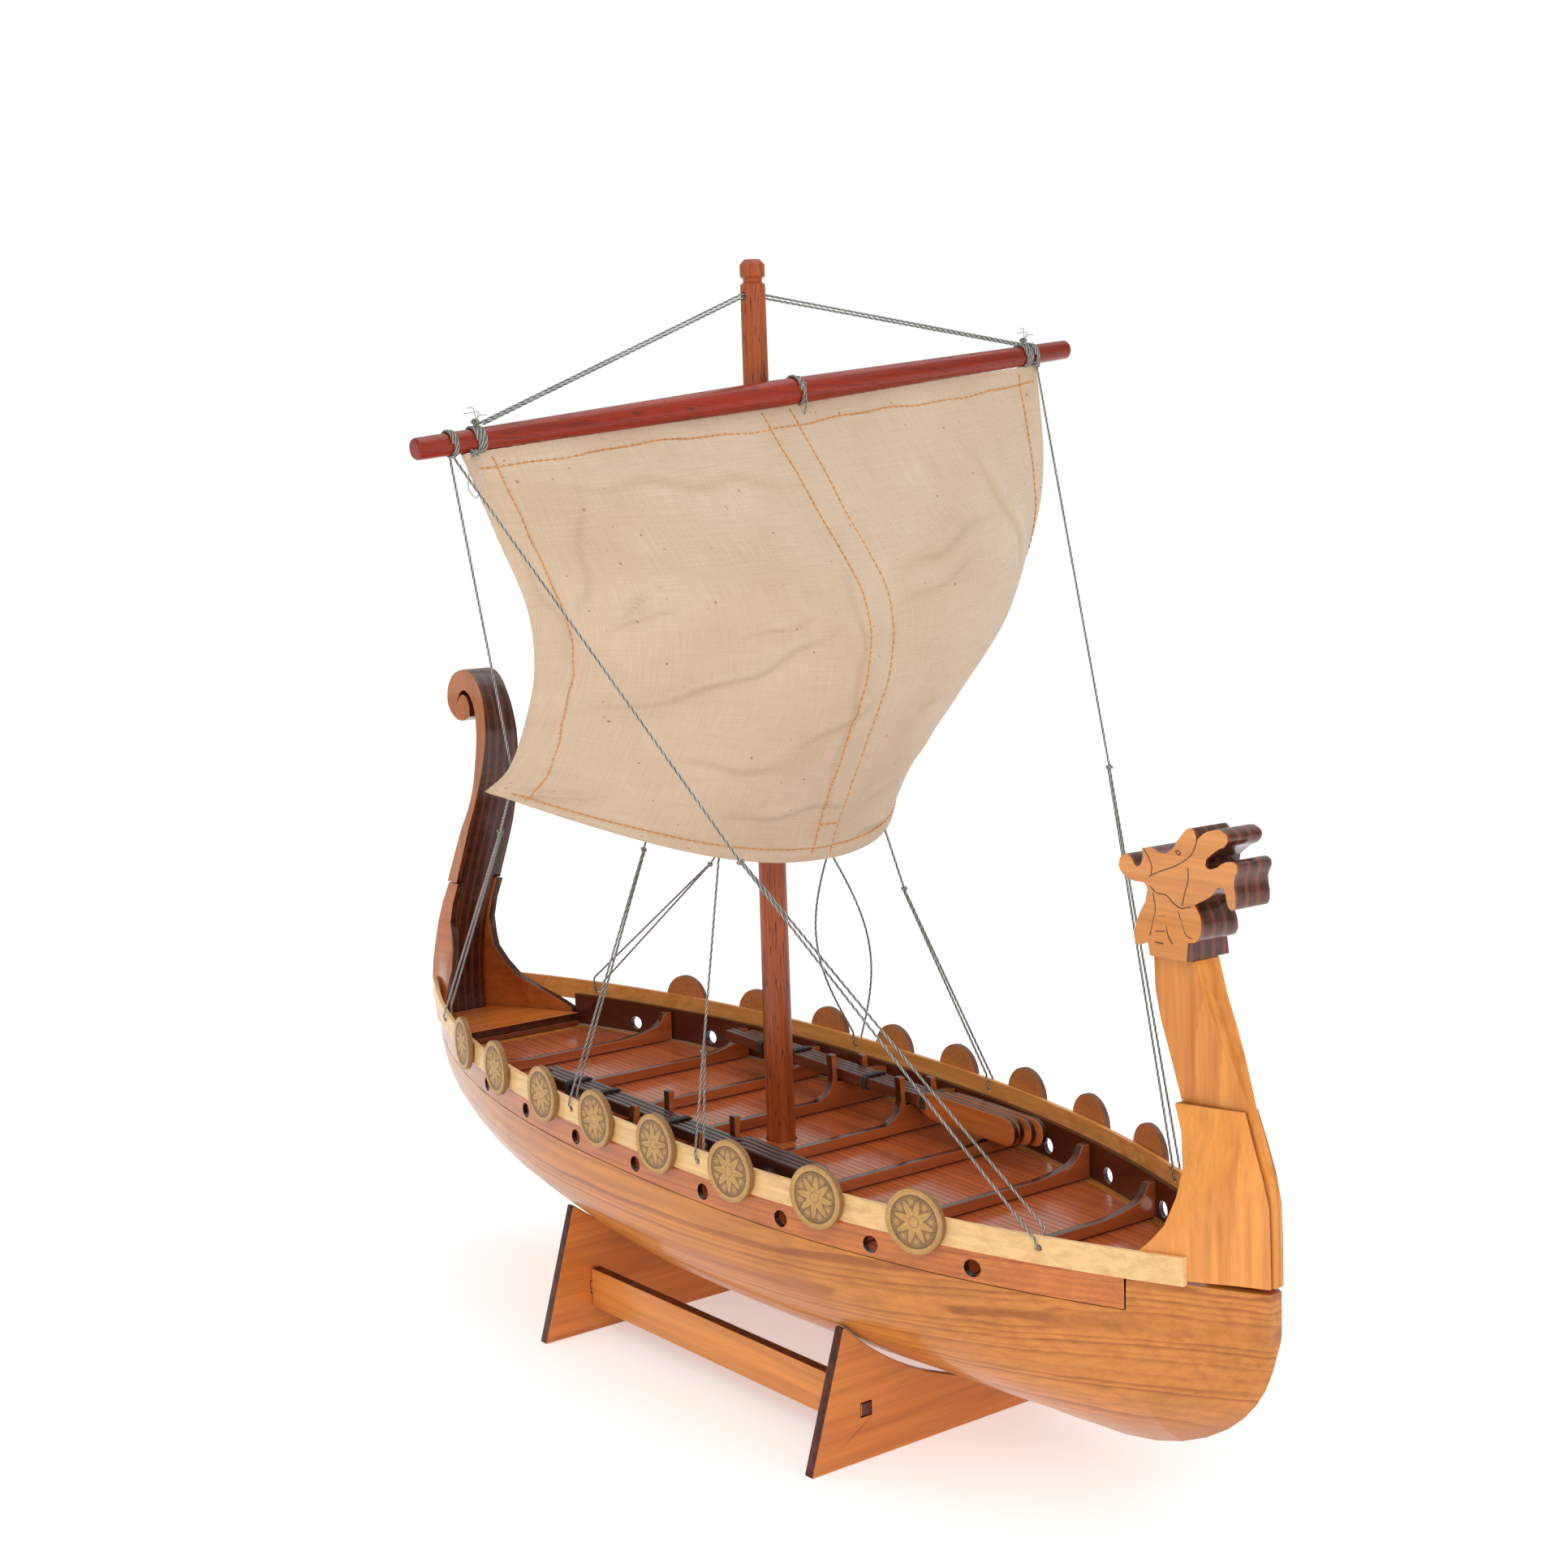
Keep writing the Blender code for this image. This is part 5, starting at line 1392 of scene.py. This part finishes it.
    def knot(self, name: str, centre: np.ndarray, finishes: Finishes, size: float,
             along: Sequence[float]) -> bpy.types.Object:
        """An overhand knot: a trefoil, x = sin t + 2 sin 2t, y = cos t - 2 cos 2t,
        z = -1.4 sin 3t, with z turned to the line's direction.

        Args:
            name: The piece's name.
            centre: The middle of the knot.
            finishes: The ship's finishes.
            size: Its size; at 1 the knot is 3 mm across.
            along: Direction of the line.

        Returns:
            The knot.
        """
        t = np.linspace(0, FULL_TURN, 90)
        loop = np.stack([np.sin(t) + 2 * np.sin(2 * t), np.cos(t) - 2 * np.cos(2 * t),
                         -1.4 * np.sin(3 * t)], axis=1) * size * 0.5
        axis = np.asarray(along, float) / np.linalg.norm(along)
        first = np.cross(axis, (0.2, 0.9, 0.1))
        first /= np.linalg.norm(first)
        turned = (loop[:, :1] * first + loop[:, 1:2] * np.cross(axis, first)
                  + loop[:, 2:] * axis)
        return twisted(name, centre + turned, self.radius * 0.95, finishes["grey_twine"],
                       sides=10)

    def lashing(self, name: str, reach: float, turns: float, finishes: Finishes,
                pitch: float = 0.75) -> bpy.types.Object:
        """Turns of twine round the yard: a helix a little proud of the wood.

        Args:
            name: The piece's name.
            reach: Its place along the yard.
            turns: How many turns.
            finishes: The ship's finishes.
            pitch: Distance from turn to turn.

        Returns:
            The lashing.
        """
        t = np.linspace(0, 1, int(60 * turns))
        angle = FULL_TURN * turns * t
        y = reach + pitch * turns * (t - 0.5)
        radius = self.yard_radius(y) + self.radius + 0.05 + 0.12 * np.sin(3 * angle / turns)
        forward, up = radius * np.cos(angle), radius * np.sin(angle)
        c, s = math.cos(self.tilt), math.sin(self.tilt)
        path = np.stack([self.yard_x + forward, y * c - up * s, self.yard_z + y * s + up * c], 1)
        return twisted(name, path, self.radius, finishes["grey_twine"], sides=10)

    def tail(self, name: str, points: Sequence, finishes: Finishes, radius: float = 0.3,
             finish: str = "grey_twine") -> bpy.types.Object:
        """A short loose end of thread through the given points."""
        return twisted(name, resample(np.asarray(points, float), 0.4, 12), radius,
                       finishes[finish], sides=8)

    def build(self, finishes: Finishes) -> None:
        """Makes lifts, braces, shrouds and what ties them.

        Args:
            finishes: The ship's finishes.
        """
        self._lifts(finishes)
        for side in Side:
            s = side.value
            reach, forward = self.brace_tie[side]
            up = -(self.yard_radius(self.tie_reach) + self.gap + self.radius)
            ties = {"fore": self.yard_point(s * reach, forward, up),
                    "aft": self.yard_point(s * reach, -forward, up)}
            kinks = {"fore": [self.fore_knot[side]], "aft": self.aft_knots[side]}
            for part, hole in (("fore", 3), ("aft", 0)):
                name = f"{side.word}_{part}_brace"
                route, knot = self.doubled(ties[part], kinks[part], side, self.holes[side][hole])
                pieces = [self.knot(f"{name}_knot", knot, finishes, 0.62, knot - ties[part])]
                self.line(name, route, finishes, pieces)
            tapered = self.mast_taper * (self.shroud_z - self.mast_step_z)
            mast_radius = self.mast_foot_radius - tapered
            lodge = mast_radius + self.radius + self.gap
            for part, offset, hole in (("fore", 0.7, 2), ("aft", -0.7, 1)):
                name = f"{side.word}_{part}_shroud"
                start = np.array([self.mast_x + offset, s * lodge, self.shroud_z])
                route, knot = self.doubled(start, [self.shroud_knots[side, part]], side,
                                           self.holes[side][hole],
                                           self.slack.get((side, part), ZERO))
                pieces = [self.knot(f"{name}_knot", knot, finishes, 0.55, knot - start)]
                self.line(name, route, finishes, pieces)
            self._yard_end(side, finishes)
        self._yard_middle(finishes)

    def _lifts(self, finishes: Finishes) -> None:
        """The two lines from the mast head to the ends of the yard.

        Args:
            finishes: The ship's finishes.
        """
        for name, offset, tie in (("lift_upper", 0.55, 0.0), ("lift_lower", -0.55, 3.0)):
            route = []
            for s in (-1, 1):
                reach = self.tie_reach - tie
                up = self.yard_radius(reach) + self.gap + self.radius
                tied = self.yard_point(s * reach, 0, up)
                mouth = np.array([self.mast_x, s * (self.mast_head_radius + 0.6),
                                  self.lift_z + offset])
                part = self.strand(tied, mouth)
                route += part if s < 0 else part[::-1]
            self.line(name, np.array(route), finishes, [])

    def _yard_end(self, side: Side, finishes: Finishes) -> None:
        """Lashing, knots and fluffy ends where the lines meet the yard.

        Args:
            side: Side of the ship.
            finishes: The ship's finishes.
        """
        s, word = side.value, side.word
        reach = self.tie_reach * s
        pieces = [self.lashing(f"{word}_yard_lashing", reach, 4.5, finishes),
                  self.lashing(f"{word}_brace_lashing", s * self.brace_tie[side][0], 2.5, finishes),
                  self.knot(f"{word}_lift_knot", self.yard_point(reach, 1.0, 5.2), finishes, 0.8,
                            (0, 1, 0)),
                  self.knot(f"{word}_brace_knot", self.yard_point(reach + s * 3, 3.2, -3.4),
                            finishes, 0.8, (0.4, 0, 1))]
        top = self.yard_point(reach, 1.5, 5.6)
        for i, sweep in enumerate(((-6.0, 2.5, 2.0), (-4.5, -3.0, 3.4), (3.0, 3.2, 1.4))):
            tip = top + np.array([2.0, sweep[0] * 0.9, sweep[2]])
            middle = top + np.array([1.0, sweep[1] * 0.4, sweep[2] + 0.8])
            pieces.append(self.tail(f"{word}_lift_end_{i}", (top, middle, tip), finishes, 0.16,
                                    "white_thread"))
        if side is Side.STARBOARD:
            low = self.yard_point(reach - 3, 2.5, -4.2)
            loop = [low, low + (2, -3, -5), low + (2.4, -4, -10), low + (2, -1, -13),
                    low + (2, 1.5, -9), low + (1.0, 0.8, -3)]
            pieces.append(self.tail(f"{word}_hanging_loop", loop, finishes, 0.2, "white_thread"))
        log.info("%s yard end: %d tied pieces", word, len(pieces))

    def _yard_middle(self, finishes: Finishes) -> None:
        """The tie at the middle of the yard, down to the head of the sail.

        Args:
            finishes: The ship's finishes.
        """
        self.lashing("middle_yard_lashing", 9.0, 2.2, finishes)
        knot = self.yard_point(9.0, 4.4, 1.6)
        self.knot("middle_yard_knot", knot, finishes, 0.75, (1, 0, 0.3))
        drop = [self.yard_point(9, 5.0, 0.5), self.yard_point(9.6, 5.2, -3.5),
                self.yard_point(8.6, 4.2, -7.2), self.yard_point(6.5, 4.8, -12)]
        self.tail("middle_yard_end", drop, finishes, 0.3)
        log.info("yard middle tied")


# ---- shields ---------------------------------------------------------------------------

@dataclass
class Shields:
    """Sixteen round shields: an engraved eight-pointed star inside a double border."""

    places: tuple = (-122, -86, -48, -13, 21.5, 58, 93, 127)
    radius: float = 9.7
    thickness: float = 2.0
    drop: float = 2.0
    strip: float = 1.6
    clearance: float = 0.7
    carved: float = 0.26
    points: int = 8
    rings: int = 46
    back_rings: int = 8
    spokes: int = 144

    def relief(self, r: np.ndarray, angle: np.ndarray) -> np.ndarray:
        """How deep the face is cut, 0 at the skin to 1 in the grooves.

        A star of eight points (radius from 0.3 to 0.74 of the disc) stands at the skin with
        cut outlines, spines and hub; the ground round it is scored with wavy rays and left
        proud in small flames between the points, inside a cut border.

        Args:
            r: Distance from the hub, as a share of the radius.
            angle: Angle round the hub.

        Returns:
            The depth of each point.
        """
        turn = np.abs((angle * self.points / FULL_TURN) % 1.0 - 0.5) * 2
        reach = 0.3 + 0.44 * turn ** 1.35
        beyond = np.clip((r - reach) / 0.03, 0, 1) * (r < 0.79)
        rays = 0.5 + 0.5 * np.cos(angle * 40 + 6 * np.sin(r * 22))
        flames = np.exp(-((r - 0.6) / 0.09) ** 2) * np.clip(-np.cos(angle * self.points), 0, 1)
        ground = 0.42 + 0.4 * rays - 0.42 * flames
        outline = np.exp(-((r - reach - 0.02) / 0.022) ** 2) * (r < 0.79)
        spine = 0.45 * np.exp(-((turn - 1) / 0.1) ** 2) * (r < reach) * (r > 0.2)
        hub = 0.7 * np.exp(-((r - 0.17) / 0.014) ** 2)
        border = (np.exp(-((r - 0.8) / 0.013) ** 2)
                  + 0.5 * np.exp(-((r - 0.93) / 0.012) ** 2))
        return np.clip(np.maximum(beyond * ground, outline) + spine + hub + border, 0, 1)

    def place_of(self, side: Side, x: float) -> tuple[np.ndarray, np.ndarray]:
        """Centre and outward direction of the shield at x: it lies on the strip's chord.

        Args:
            side: Side of the ship.
            x: Place along the ship, in millimetres.

        Returns:
            The centre, and a unit direction away from the hull.
        """
        s, reach = side.value, self.radius
        ends = [np.array([x + d, s * LINES.half_breadth(x + d), 0.0]) for d in (-reach, reach)]
        along = (ends[1] - ends[0]) / np.linalg.norm(ends[1] - ends[0])
        outward = np.array([-along[1], along[0], 0]) * s
        spots = [np.array([x + d, s * LINES.half_breadth(x + d), 0.0]) - ends[0]
                 for d in np.linspace(-reach, reach, 9)]
        bulge = max(float(p @ outward) for p in spots)
        stand_off = bulge + self.strip + self.clearance + self.thickness / 2
        centre = (ends[0] + ends[1]) / 2 + outward * stand_off
        return centre + np.array([0, 0, LINES.gunwale(x) - self.drop]), outward

    def build(self, finishes: Finishes) -> None:
        """Makes every shield, each turned a little differently.

        Args:
            finishes: The ship's finishes.
        """
        for side in Side:
            for number, x in enumerate(self.places, 1):
                self._shield(side, number, x, finishes)
        log.info("shields: %d carved discs", 2 * len(self.places))

    def _profile(self) -> tuple[np.ndarray, np.ndarray]:
        """Radius (share of the disc) and height of each ring, from the hub over the rim.

        Returns:
            The radii and the heights.
        """
        half = self.thickness / 2
        r = np.concatenate([np.linspace(0.02, 0.975, self.rings), [0.992, 1.0, 1.0, 0.992],
                            np.linspace(0.97, 0.02, self.back_rings)])
        z = np.concatenate([np.full(self.rings, half),
                            [half - 0.06, half - 0.22, 0.22 - half, 0.06 - half],
                            np.full(self.back_rings, -half)])
        return r, z

    def _shield(self, side: Side, number: int, x: float, finishes: Finishes) -> None:
        """One disc: face and back as rings of points, from the hub out over the rim.

        Args:
            side: Side of the ship.
            number: Its number, from the stern.
            x: Place along the ship, in millimetres.
            finishes: The ship's finishes.
        """
        centre, outward = self.place_of(side, x)
        r, z = self._profile()
        rows = len(r)
        angle = np.arange(self.spokes) * FULL_TURN / self.spokes
        turn = 0.13 * number + (0.4 if side is Side.PORT else 0.0)
        cut = self.relief(r[:, None], angle[None, :] + turn)
        cut = cut * (np.arange(rows) < self.rings)[:, None]
        height = z[:, None] - self.carved * cut
        across, up = np.cross((0.0, 0.0, 1.0), outward), np.array([0, 0, 1.0])
        points = (centre + (r[:, None] * np.cos(angle))[..., None] * self.radius * across
                  + (r[:, None] * np.sin(angle))[..., None] * self.radius * up
                  + height[..., None] * outward)
        hub = list(range(self.spokes))[::-1]
        back = list(range((rows - 1) * self.spokes, rows * self.spokes))
        faces = grid_faces(rows, self.spokes, True).tolist() + [hub, back]
        finish = "shield_face" if side is Side.STARBOARD else "shield_port"
        disc = mesh_piece(f"{side.word}_shield_disc_{number}", points, faces, finishes[finish])
        point_values(disc, "carve", cut)
        rim = np.exp(-((r - 1.0) / 0.02) ** 2)
        point_values(disc, "rim", np.repeat(rim[:, None], self.spokes, axis=1))
        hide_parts(f"{side.word}_shield_{number}")


# ---- oars ------------------------------------------------------------------------------

@dataclass
class Oars:
    """Four thin oars a side, on edge in the forks and lashed together."""

    middle_y: float = 42.0
    pair_thickness: float = 4.4
    gap: float = 0.3
    aft_x: float = -74.0
    fore_x: float = 84.0
    shaft: float = 4.0
    blade: float = 9.5
    blade_rise: float = 2.0
    blade_length: float = 50.0
    neck_length: float = 9.0
    tip_length: float = 5.0
    slot_drop: float = 8.0
    clearance: float = 0.6
    between: float = 0.2
    twine: float = 0.42
    tied_at: tuple = (-58.0, -40.0, 2.0, 33.0)

    def base(self, x: float | np.ndarray) -> float | np.ndarray:
        """Height of the shafts' lower edge at x."""
        return LINES.gunwale(x) - self.slot_drop + self.clearance

    def outline(self, x: np.ndarray, aft: float, fore: float) -> tuple[np.ndarray, ...]:
        """Share of blade, middle height and half height of an oar at each x.

        Half height and middle height go from the shaft's to the blade's by a smooth step
        over the neck, and the blade's end closes by a quarter ellipse.

        Args:
            x: Places along the oar.
            aft: Where it starts.
            fore: Where it ends.

        Returns:
            The three as arrays.
        """
        t = np.clip((x - (fore - self.blade_length)) / self.neck_length, 0, 1)
        blade = t * t * (3 - 2 * t)
        wider = (self.blade - self.shaft) / 2
        middle = self.base(x) + self.shaft / 2 + blade * (self.blade_rise - wider)
        run = np.clip(x - (fore - self.tip_length), 0, self.tip_length) / self.tip_length
        closing = np.maximum(np.sqrt(np.clip(1 - run ** 2, 0, 1)), 0.03)
        half = (self.shaft / 2 + wider * blade) * closing * np.where(x < aft + 0.1, 0.9, 1)
        return blade, middle, half

    def board(self, name: str, y: float, thick: float, aft: float, fore: float,
              material: bpy.types.Material) -> bpy.types.Object:
        """One oar: a rounded oblong section carried along x.

        The section is x = cos, z = sin of an angle, each to the power 0.35 with its sign.

        Args:
            name: The piece's name.
            y: Its middle across the ship.
            thick: Its thickness.
            aft: Where it starts.
            fore: Where it ends.
            material: The piece's material.

        Returns:
            The oar.
        """
        tip = fore - self.tip_length
        x = np.concatenate([[aft, aft + 0.15], np.linspace(aft + 0.6, tip, 70),
                            tip + self.tip_length * np.sin(np.linspace(0.08, 1, 14)
                                                           * math.pi / 2)])
        blade, middle, half = self.outline(x, aft, fore)
        angle = np.linspace(0, FULL_TURN, 28, endpoint=False)
        round_y = np.sign(np.cos(angle)) * np.abs(np.cos(angle)) ** 0.35
        round_z = np.sign(np.sin(angle)) * np.abs(np.sin(angle)) ** 0.35
        points = np.stack(np.broadcast_arrays(
            x[:, None], y + round_y[None, :] * thick / 2,
            middle[:, None] + half[:, None] * round_z[None, :]), axis=-1)
        count = len(angle)
        faces = grid_faces(len(x), count, True).tolist()
        faces += [list(range(count))[::-1], list(range((len(x) - 1) * count, len(x) * count))]
        oar = mesh_piece(name, points, faces, material)
        # The blade share also sets where painted shade falls on the shaft.
        point_values(oar, "blade", np.repeat(blade, count))
        return oar

    def lashing(self, name: str, x: float, y: float, half_width: float,
                finishes: Finishes) -> bpy.types.Object:
        """Three turns of black twine round the bundle: a rounded oblong helix.

        Args:
            name: The piece's name.
            x: Place along the ship, in millimetres.
            y: Middle of the bundle across the ship.
            half_width: Half the bundle's width.
            finishes: The ship's finishes.

        Returns:
            The lashing.
        """
        turns, proud = 3.0, 0.55
        t = np.linspace(0, 1, int(48 * turns))
        angle = FULL_TURN * turns * t
        cos, sin = np.cos(angle), np.sin(angle)
        wide, tall = half_width + proud, self.shaft / 2 + proud
        path = np.stack([x + 0.85 * turns * (t - 0.5) + 0.5 * np.sin(angle),
                         y + np.sign(cos) * np.abs(cos) ** 0.45 * wide,
                         self.base(x) + self.shaft / 2 + np.sign(sin) * np.abs(sin) ** 0.45 * tall],
                        axis=1)
        return twisted(name, path, self.twine, finishes["black_twine"], sides=8)

    def build(self, finishes: Finishes) -> None:
        """Makes both bundles.

        Args:
            finishes: The ship's finishes.
        """
        for side in Side:
            s = side.value
            for i, part in enumerate(("inner", "outer")):
                centre = s * (self.middle_y + (self.pair_thickness + self.gap) * (i - 0.5))
                shift = (-6.0, 0.0)[i]
                thick = (self.pair_thickness - self.between) / 2
                for j in (0, 1):
                    y = centre + s * (j - 0.5) * (thick + self.between)
                    finish = "oar_face" if side is Side.PORT else "oar_dark"
                    oar = self.board(f"{side.word}_oar_{part}_{j + 1}", y, thick,
                                     self.aft_x + shift, self.fore_x + shift - 3.0 * (1 - j) * i,
                                     finishes[finish])
                    if j == 0:
                        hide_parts(f"oars_{side.word}_{part}")
            for k, x in enumerate(self.tied_at):
                self.lashing(f"{side.word}_oar_lashing_{k + 1}", x, s * self.middle_y,
                             self.pair_thickness + self.gap / 2, finishes)
        log.info("oars: eight boards, eight lashings")


# ---- camera, light and floor -----------------------------------------------------------

@dataclass
class Studio:
    """The camera, the soft lights and the pale floor."""

    eye: tuple = (0.6179, -0.4654, 0.2950)
    azimuth: float = 0.91711
    elevation: float = 0.12703
    roll: float = -0.03297
    lens: float = 53.5
    lamps: dict[str, tuple] = field(default_factory=lambda: {
        "key": ((0.75, -0.75, 0.8), 0.6, 3.2), "fill": ((1.1, 0.1, 0.5), 0.8, 1.25),
        "top": ((-0.1, 0.3, 1.2), 0.8, 2.1)})
    aim: Triple = (0.0, 0.0, 0.15)
    room_low: float = 0.42
    room_high: float = 0.8
    paper_glow: float = 0.42
    paper_reach: float = 6.0

    def camera(self) -> None:
        """Sets the camera: its axes come from azimuth, elevation and roll."""
        sa, ca = math.sin(self.azimuth), math.cos(self.azimuth)
        se, ce = math.sin(self.elevation), math.cos(self.elevation)
        ahead = np.array([-sa * ce, ca * ce, -se])
        level = np.array([ca, sa, 0.0])
        rise = np.cross(level, ahead)
        right = math.cos(self.roll) * level + math.sin(self.roll) * rise
        up = -math.sin(self.roll) * level + math.cos(self.roll) * rise
        matrix = np.eye(4)
        matrix[:3, 0], matrix[:3, 1], matrix[:3, 2], matrix[:3, 3] = right, up, -ahead, self.eye
        data = bpy.data.cameras.new("camera")
        data.lens = self.lens
        data.sensor_width = 36.0
        data.clip_start = 0.01
        camera = bpy.data.objects.new("camera", data)
        camera.matrix_world = [list(row) for row in matrix.T.tolist()]
        bpy.context.scene.collection.objects.link(camera)
        bpy.context.scene.camera = camera
        bpy.context.scene.view_settings.view_transform = "Standard"

    def room(self) -> None:
        """A white room that dims towards the floor, seen as plain white by the camera."""
        world = bpy.data.worlds.new("room")
        world.use_nodes = True
        nodes, links = world.node_tree.nodes, world.node_tree.links
        back = nodes["Background"]
        height = nodes.new("ShaderNodeSeparateXYZ")
        links.new(nodes.new("ShaderNodeTexCoord").outputs["Generated"], height.inputs[0])
        ramp = nodes.new("ShaderNodeMapRange")
        for key, value in (("From Min", -0.1), ("From Max", 0.9), ("To Min", self.room_low),
                           ("To Max", self.room_high)):
            ramp.inputs[key].default_value = value
        links.new(height.outputs["Z"], ramp.inputs["Value"])
        seen = nodes.new("ShaderNodeMath")
        seen.operation = "MAXIMUM"
        links.new(ramp.outputs["Result"], seen.inputs[0])
        links.new(nodes.new("ShaderNodeLightPath").outputs["Is Camera Ray"], seen.inputs[1])
        links.new(seen.outputs[0], back.inputs["Strength"])
        back.inputs["Color"].default_value = (1.0, 1.0, 1.0, 1.0)
        bpy.context.scene.world = world

    def lights(self) -> None:
        """A large key over the starboard bow, a fill and a top light, all aimed at the ship."""
        for name, (place, size, power) in self.lamps.items():
            data = bpy.data.lights.new(name, "AREA")
            data.size = size
            data.energy = power
            lamp = bpy.data.objects.new(name, data)
            ahead = np.array(self.aim) - np.array(place)
            ahead /= np.linalg.norm(ahead)
            right = np.cross(ahead, (0, 0, 1))
            right /= np.linalg.norm(right)
            matrix = np.eye(4)
            matrix[:3, 0], matrix[:3, 1] = right, np.cross(right, ahead)
            matrix[:3, 2], matrix[:3, 3] = -ahead, place
            lamp.matrix_world = matrix.T.tolist()
            bpy.context.scene.collection.objects.link(lamp)

    def floor(self) -> None:
        """A wide pale sheet under the stand."""
        mesh = bpy.data.meshes.new("floor")
        reach = self.paper_reach
        mesh.from_pydata([(-reach, -reach, 0), (reach, -reach, 0), (reach, reach, 0),
                          (-reach, reach, 0)], [], [(0, 1, 2, 3)])
        s = Shader("floor_paper", 0.9)
        s.surface.inputs["Emission Color"].default_value = (1.0, 1.0, 1.0, 1.0)
        s.surface.inputs["Emission Strength"].default_value = self.paper_glow
        paper = s.noise(s.place(scale=(30.0, 30.0, 30.0)), 1.0, 3.0)
        s.feed(s.surface.inputs["Base Color"],
               s.ramp(paper, (0.0, (0.88, 0.88, 0.88)), (1.0, (0.92, 0.92, 0.92))))
        mesh.materials.append(s.material)
        floor = bpy.data.objects.new("floor", mesh)
        bpy.context.scene.collection.objects.link(floor)


def main() -> None:
    """Builds every sub-assembly in order and reports it."""
    logging.basicConfig(level=logging.INFO, format="%(message)s")
    studio = Studio()
    studio.camera()
    finishes = Finishes()
    builders: list[tuple[str, Callable]] = [
        ("rigging", Rigging().build), ("sail", Sail().build), ("joinery", Joinery().build),
        ("head marks", HeadMarks().build),
        ("shields", Shields().build), ("oars", Oars().build)]
    for word, build in builders:
        build(finishes)
        log.info("%s done", word)
    studio.room()
    studio.lights()
    studio.floor()


if __name__ == "__main__":
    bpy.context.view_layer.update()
    main()
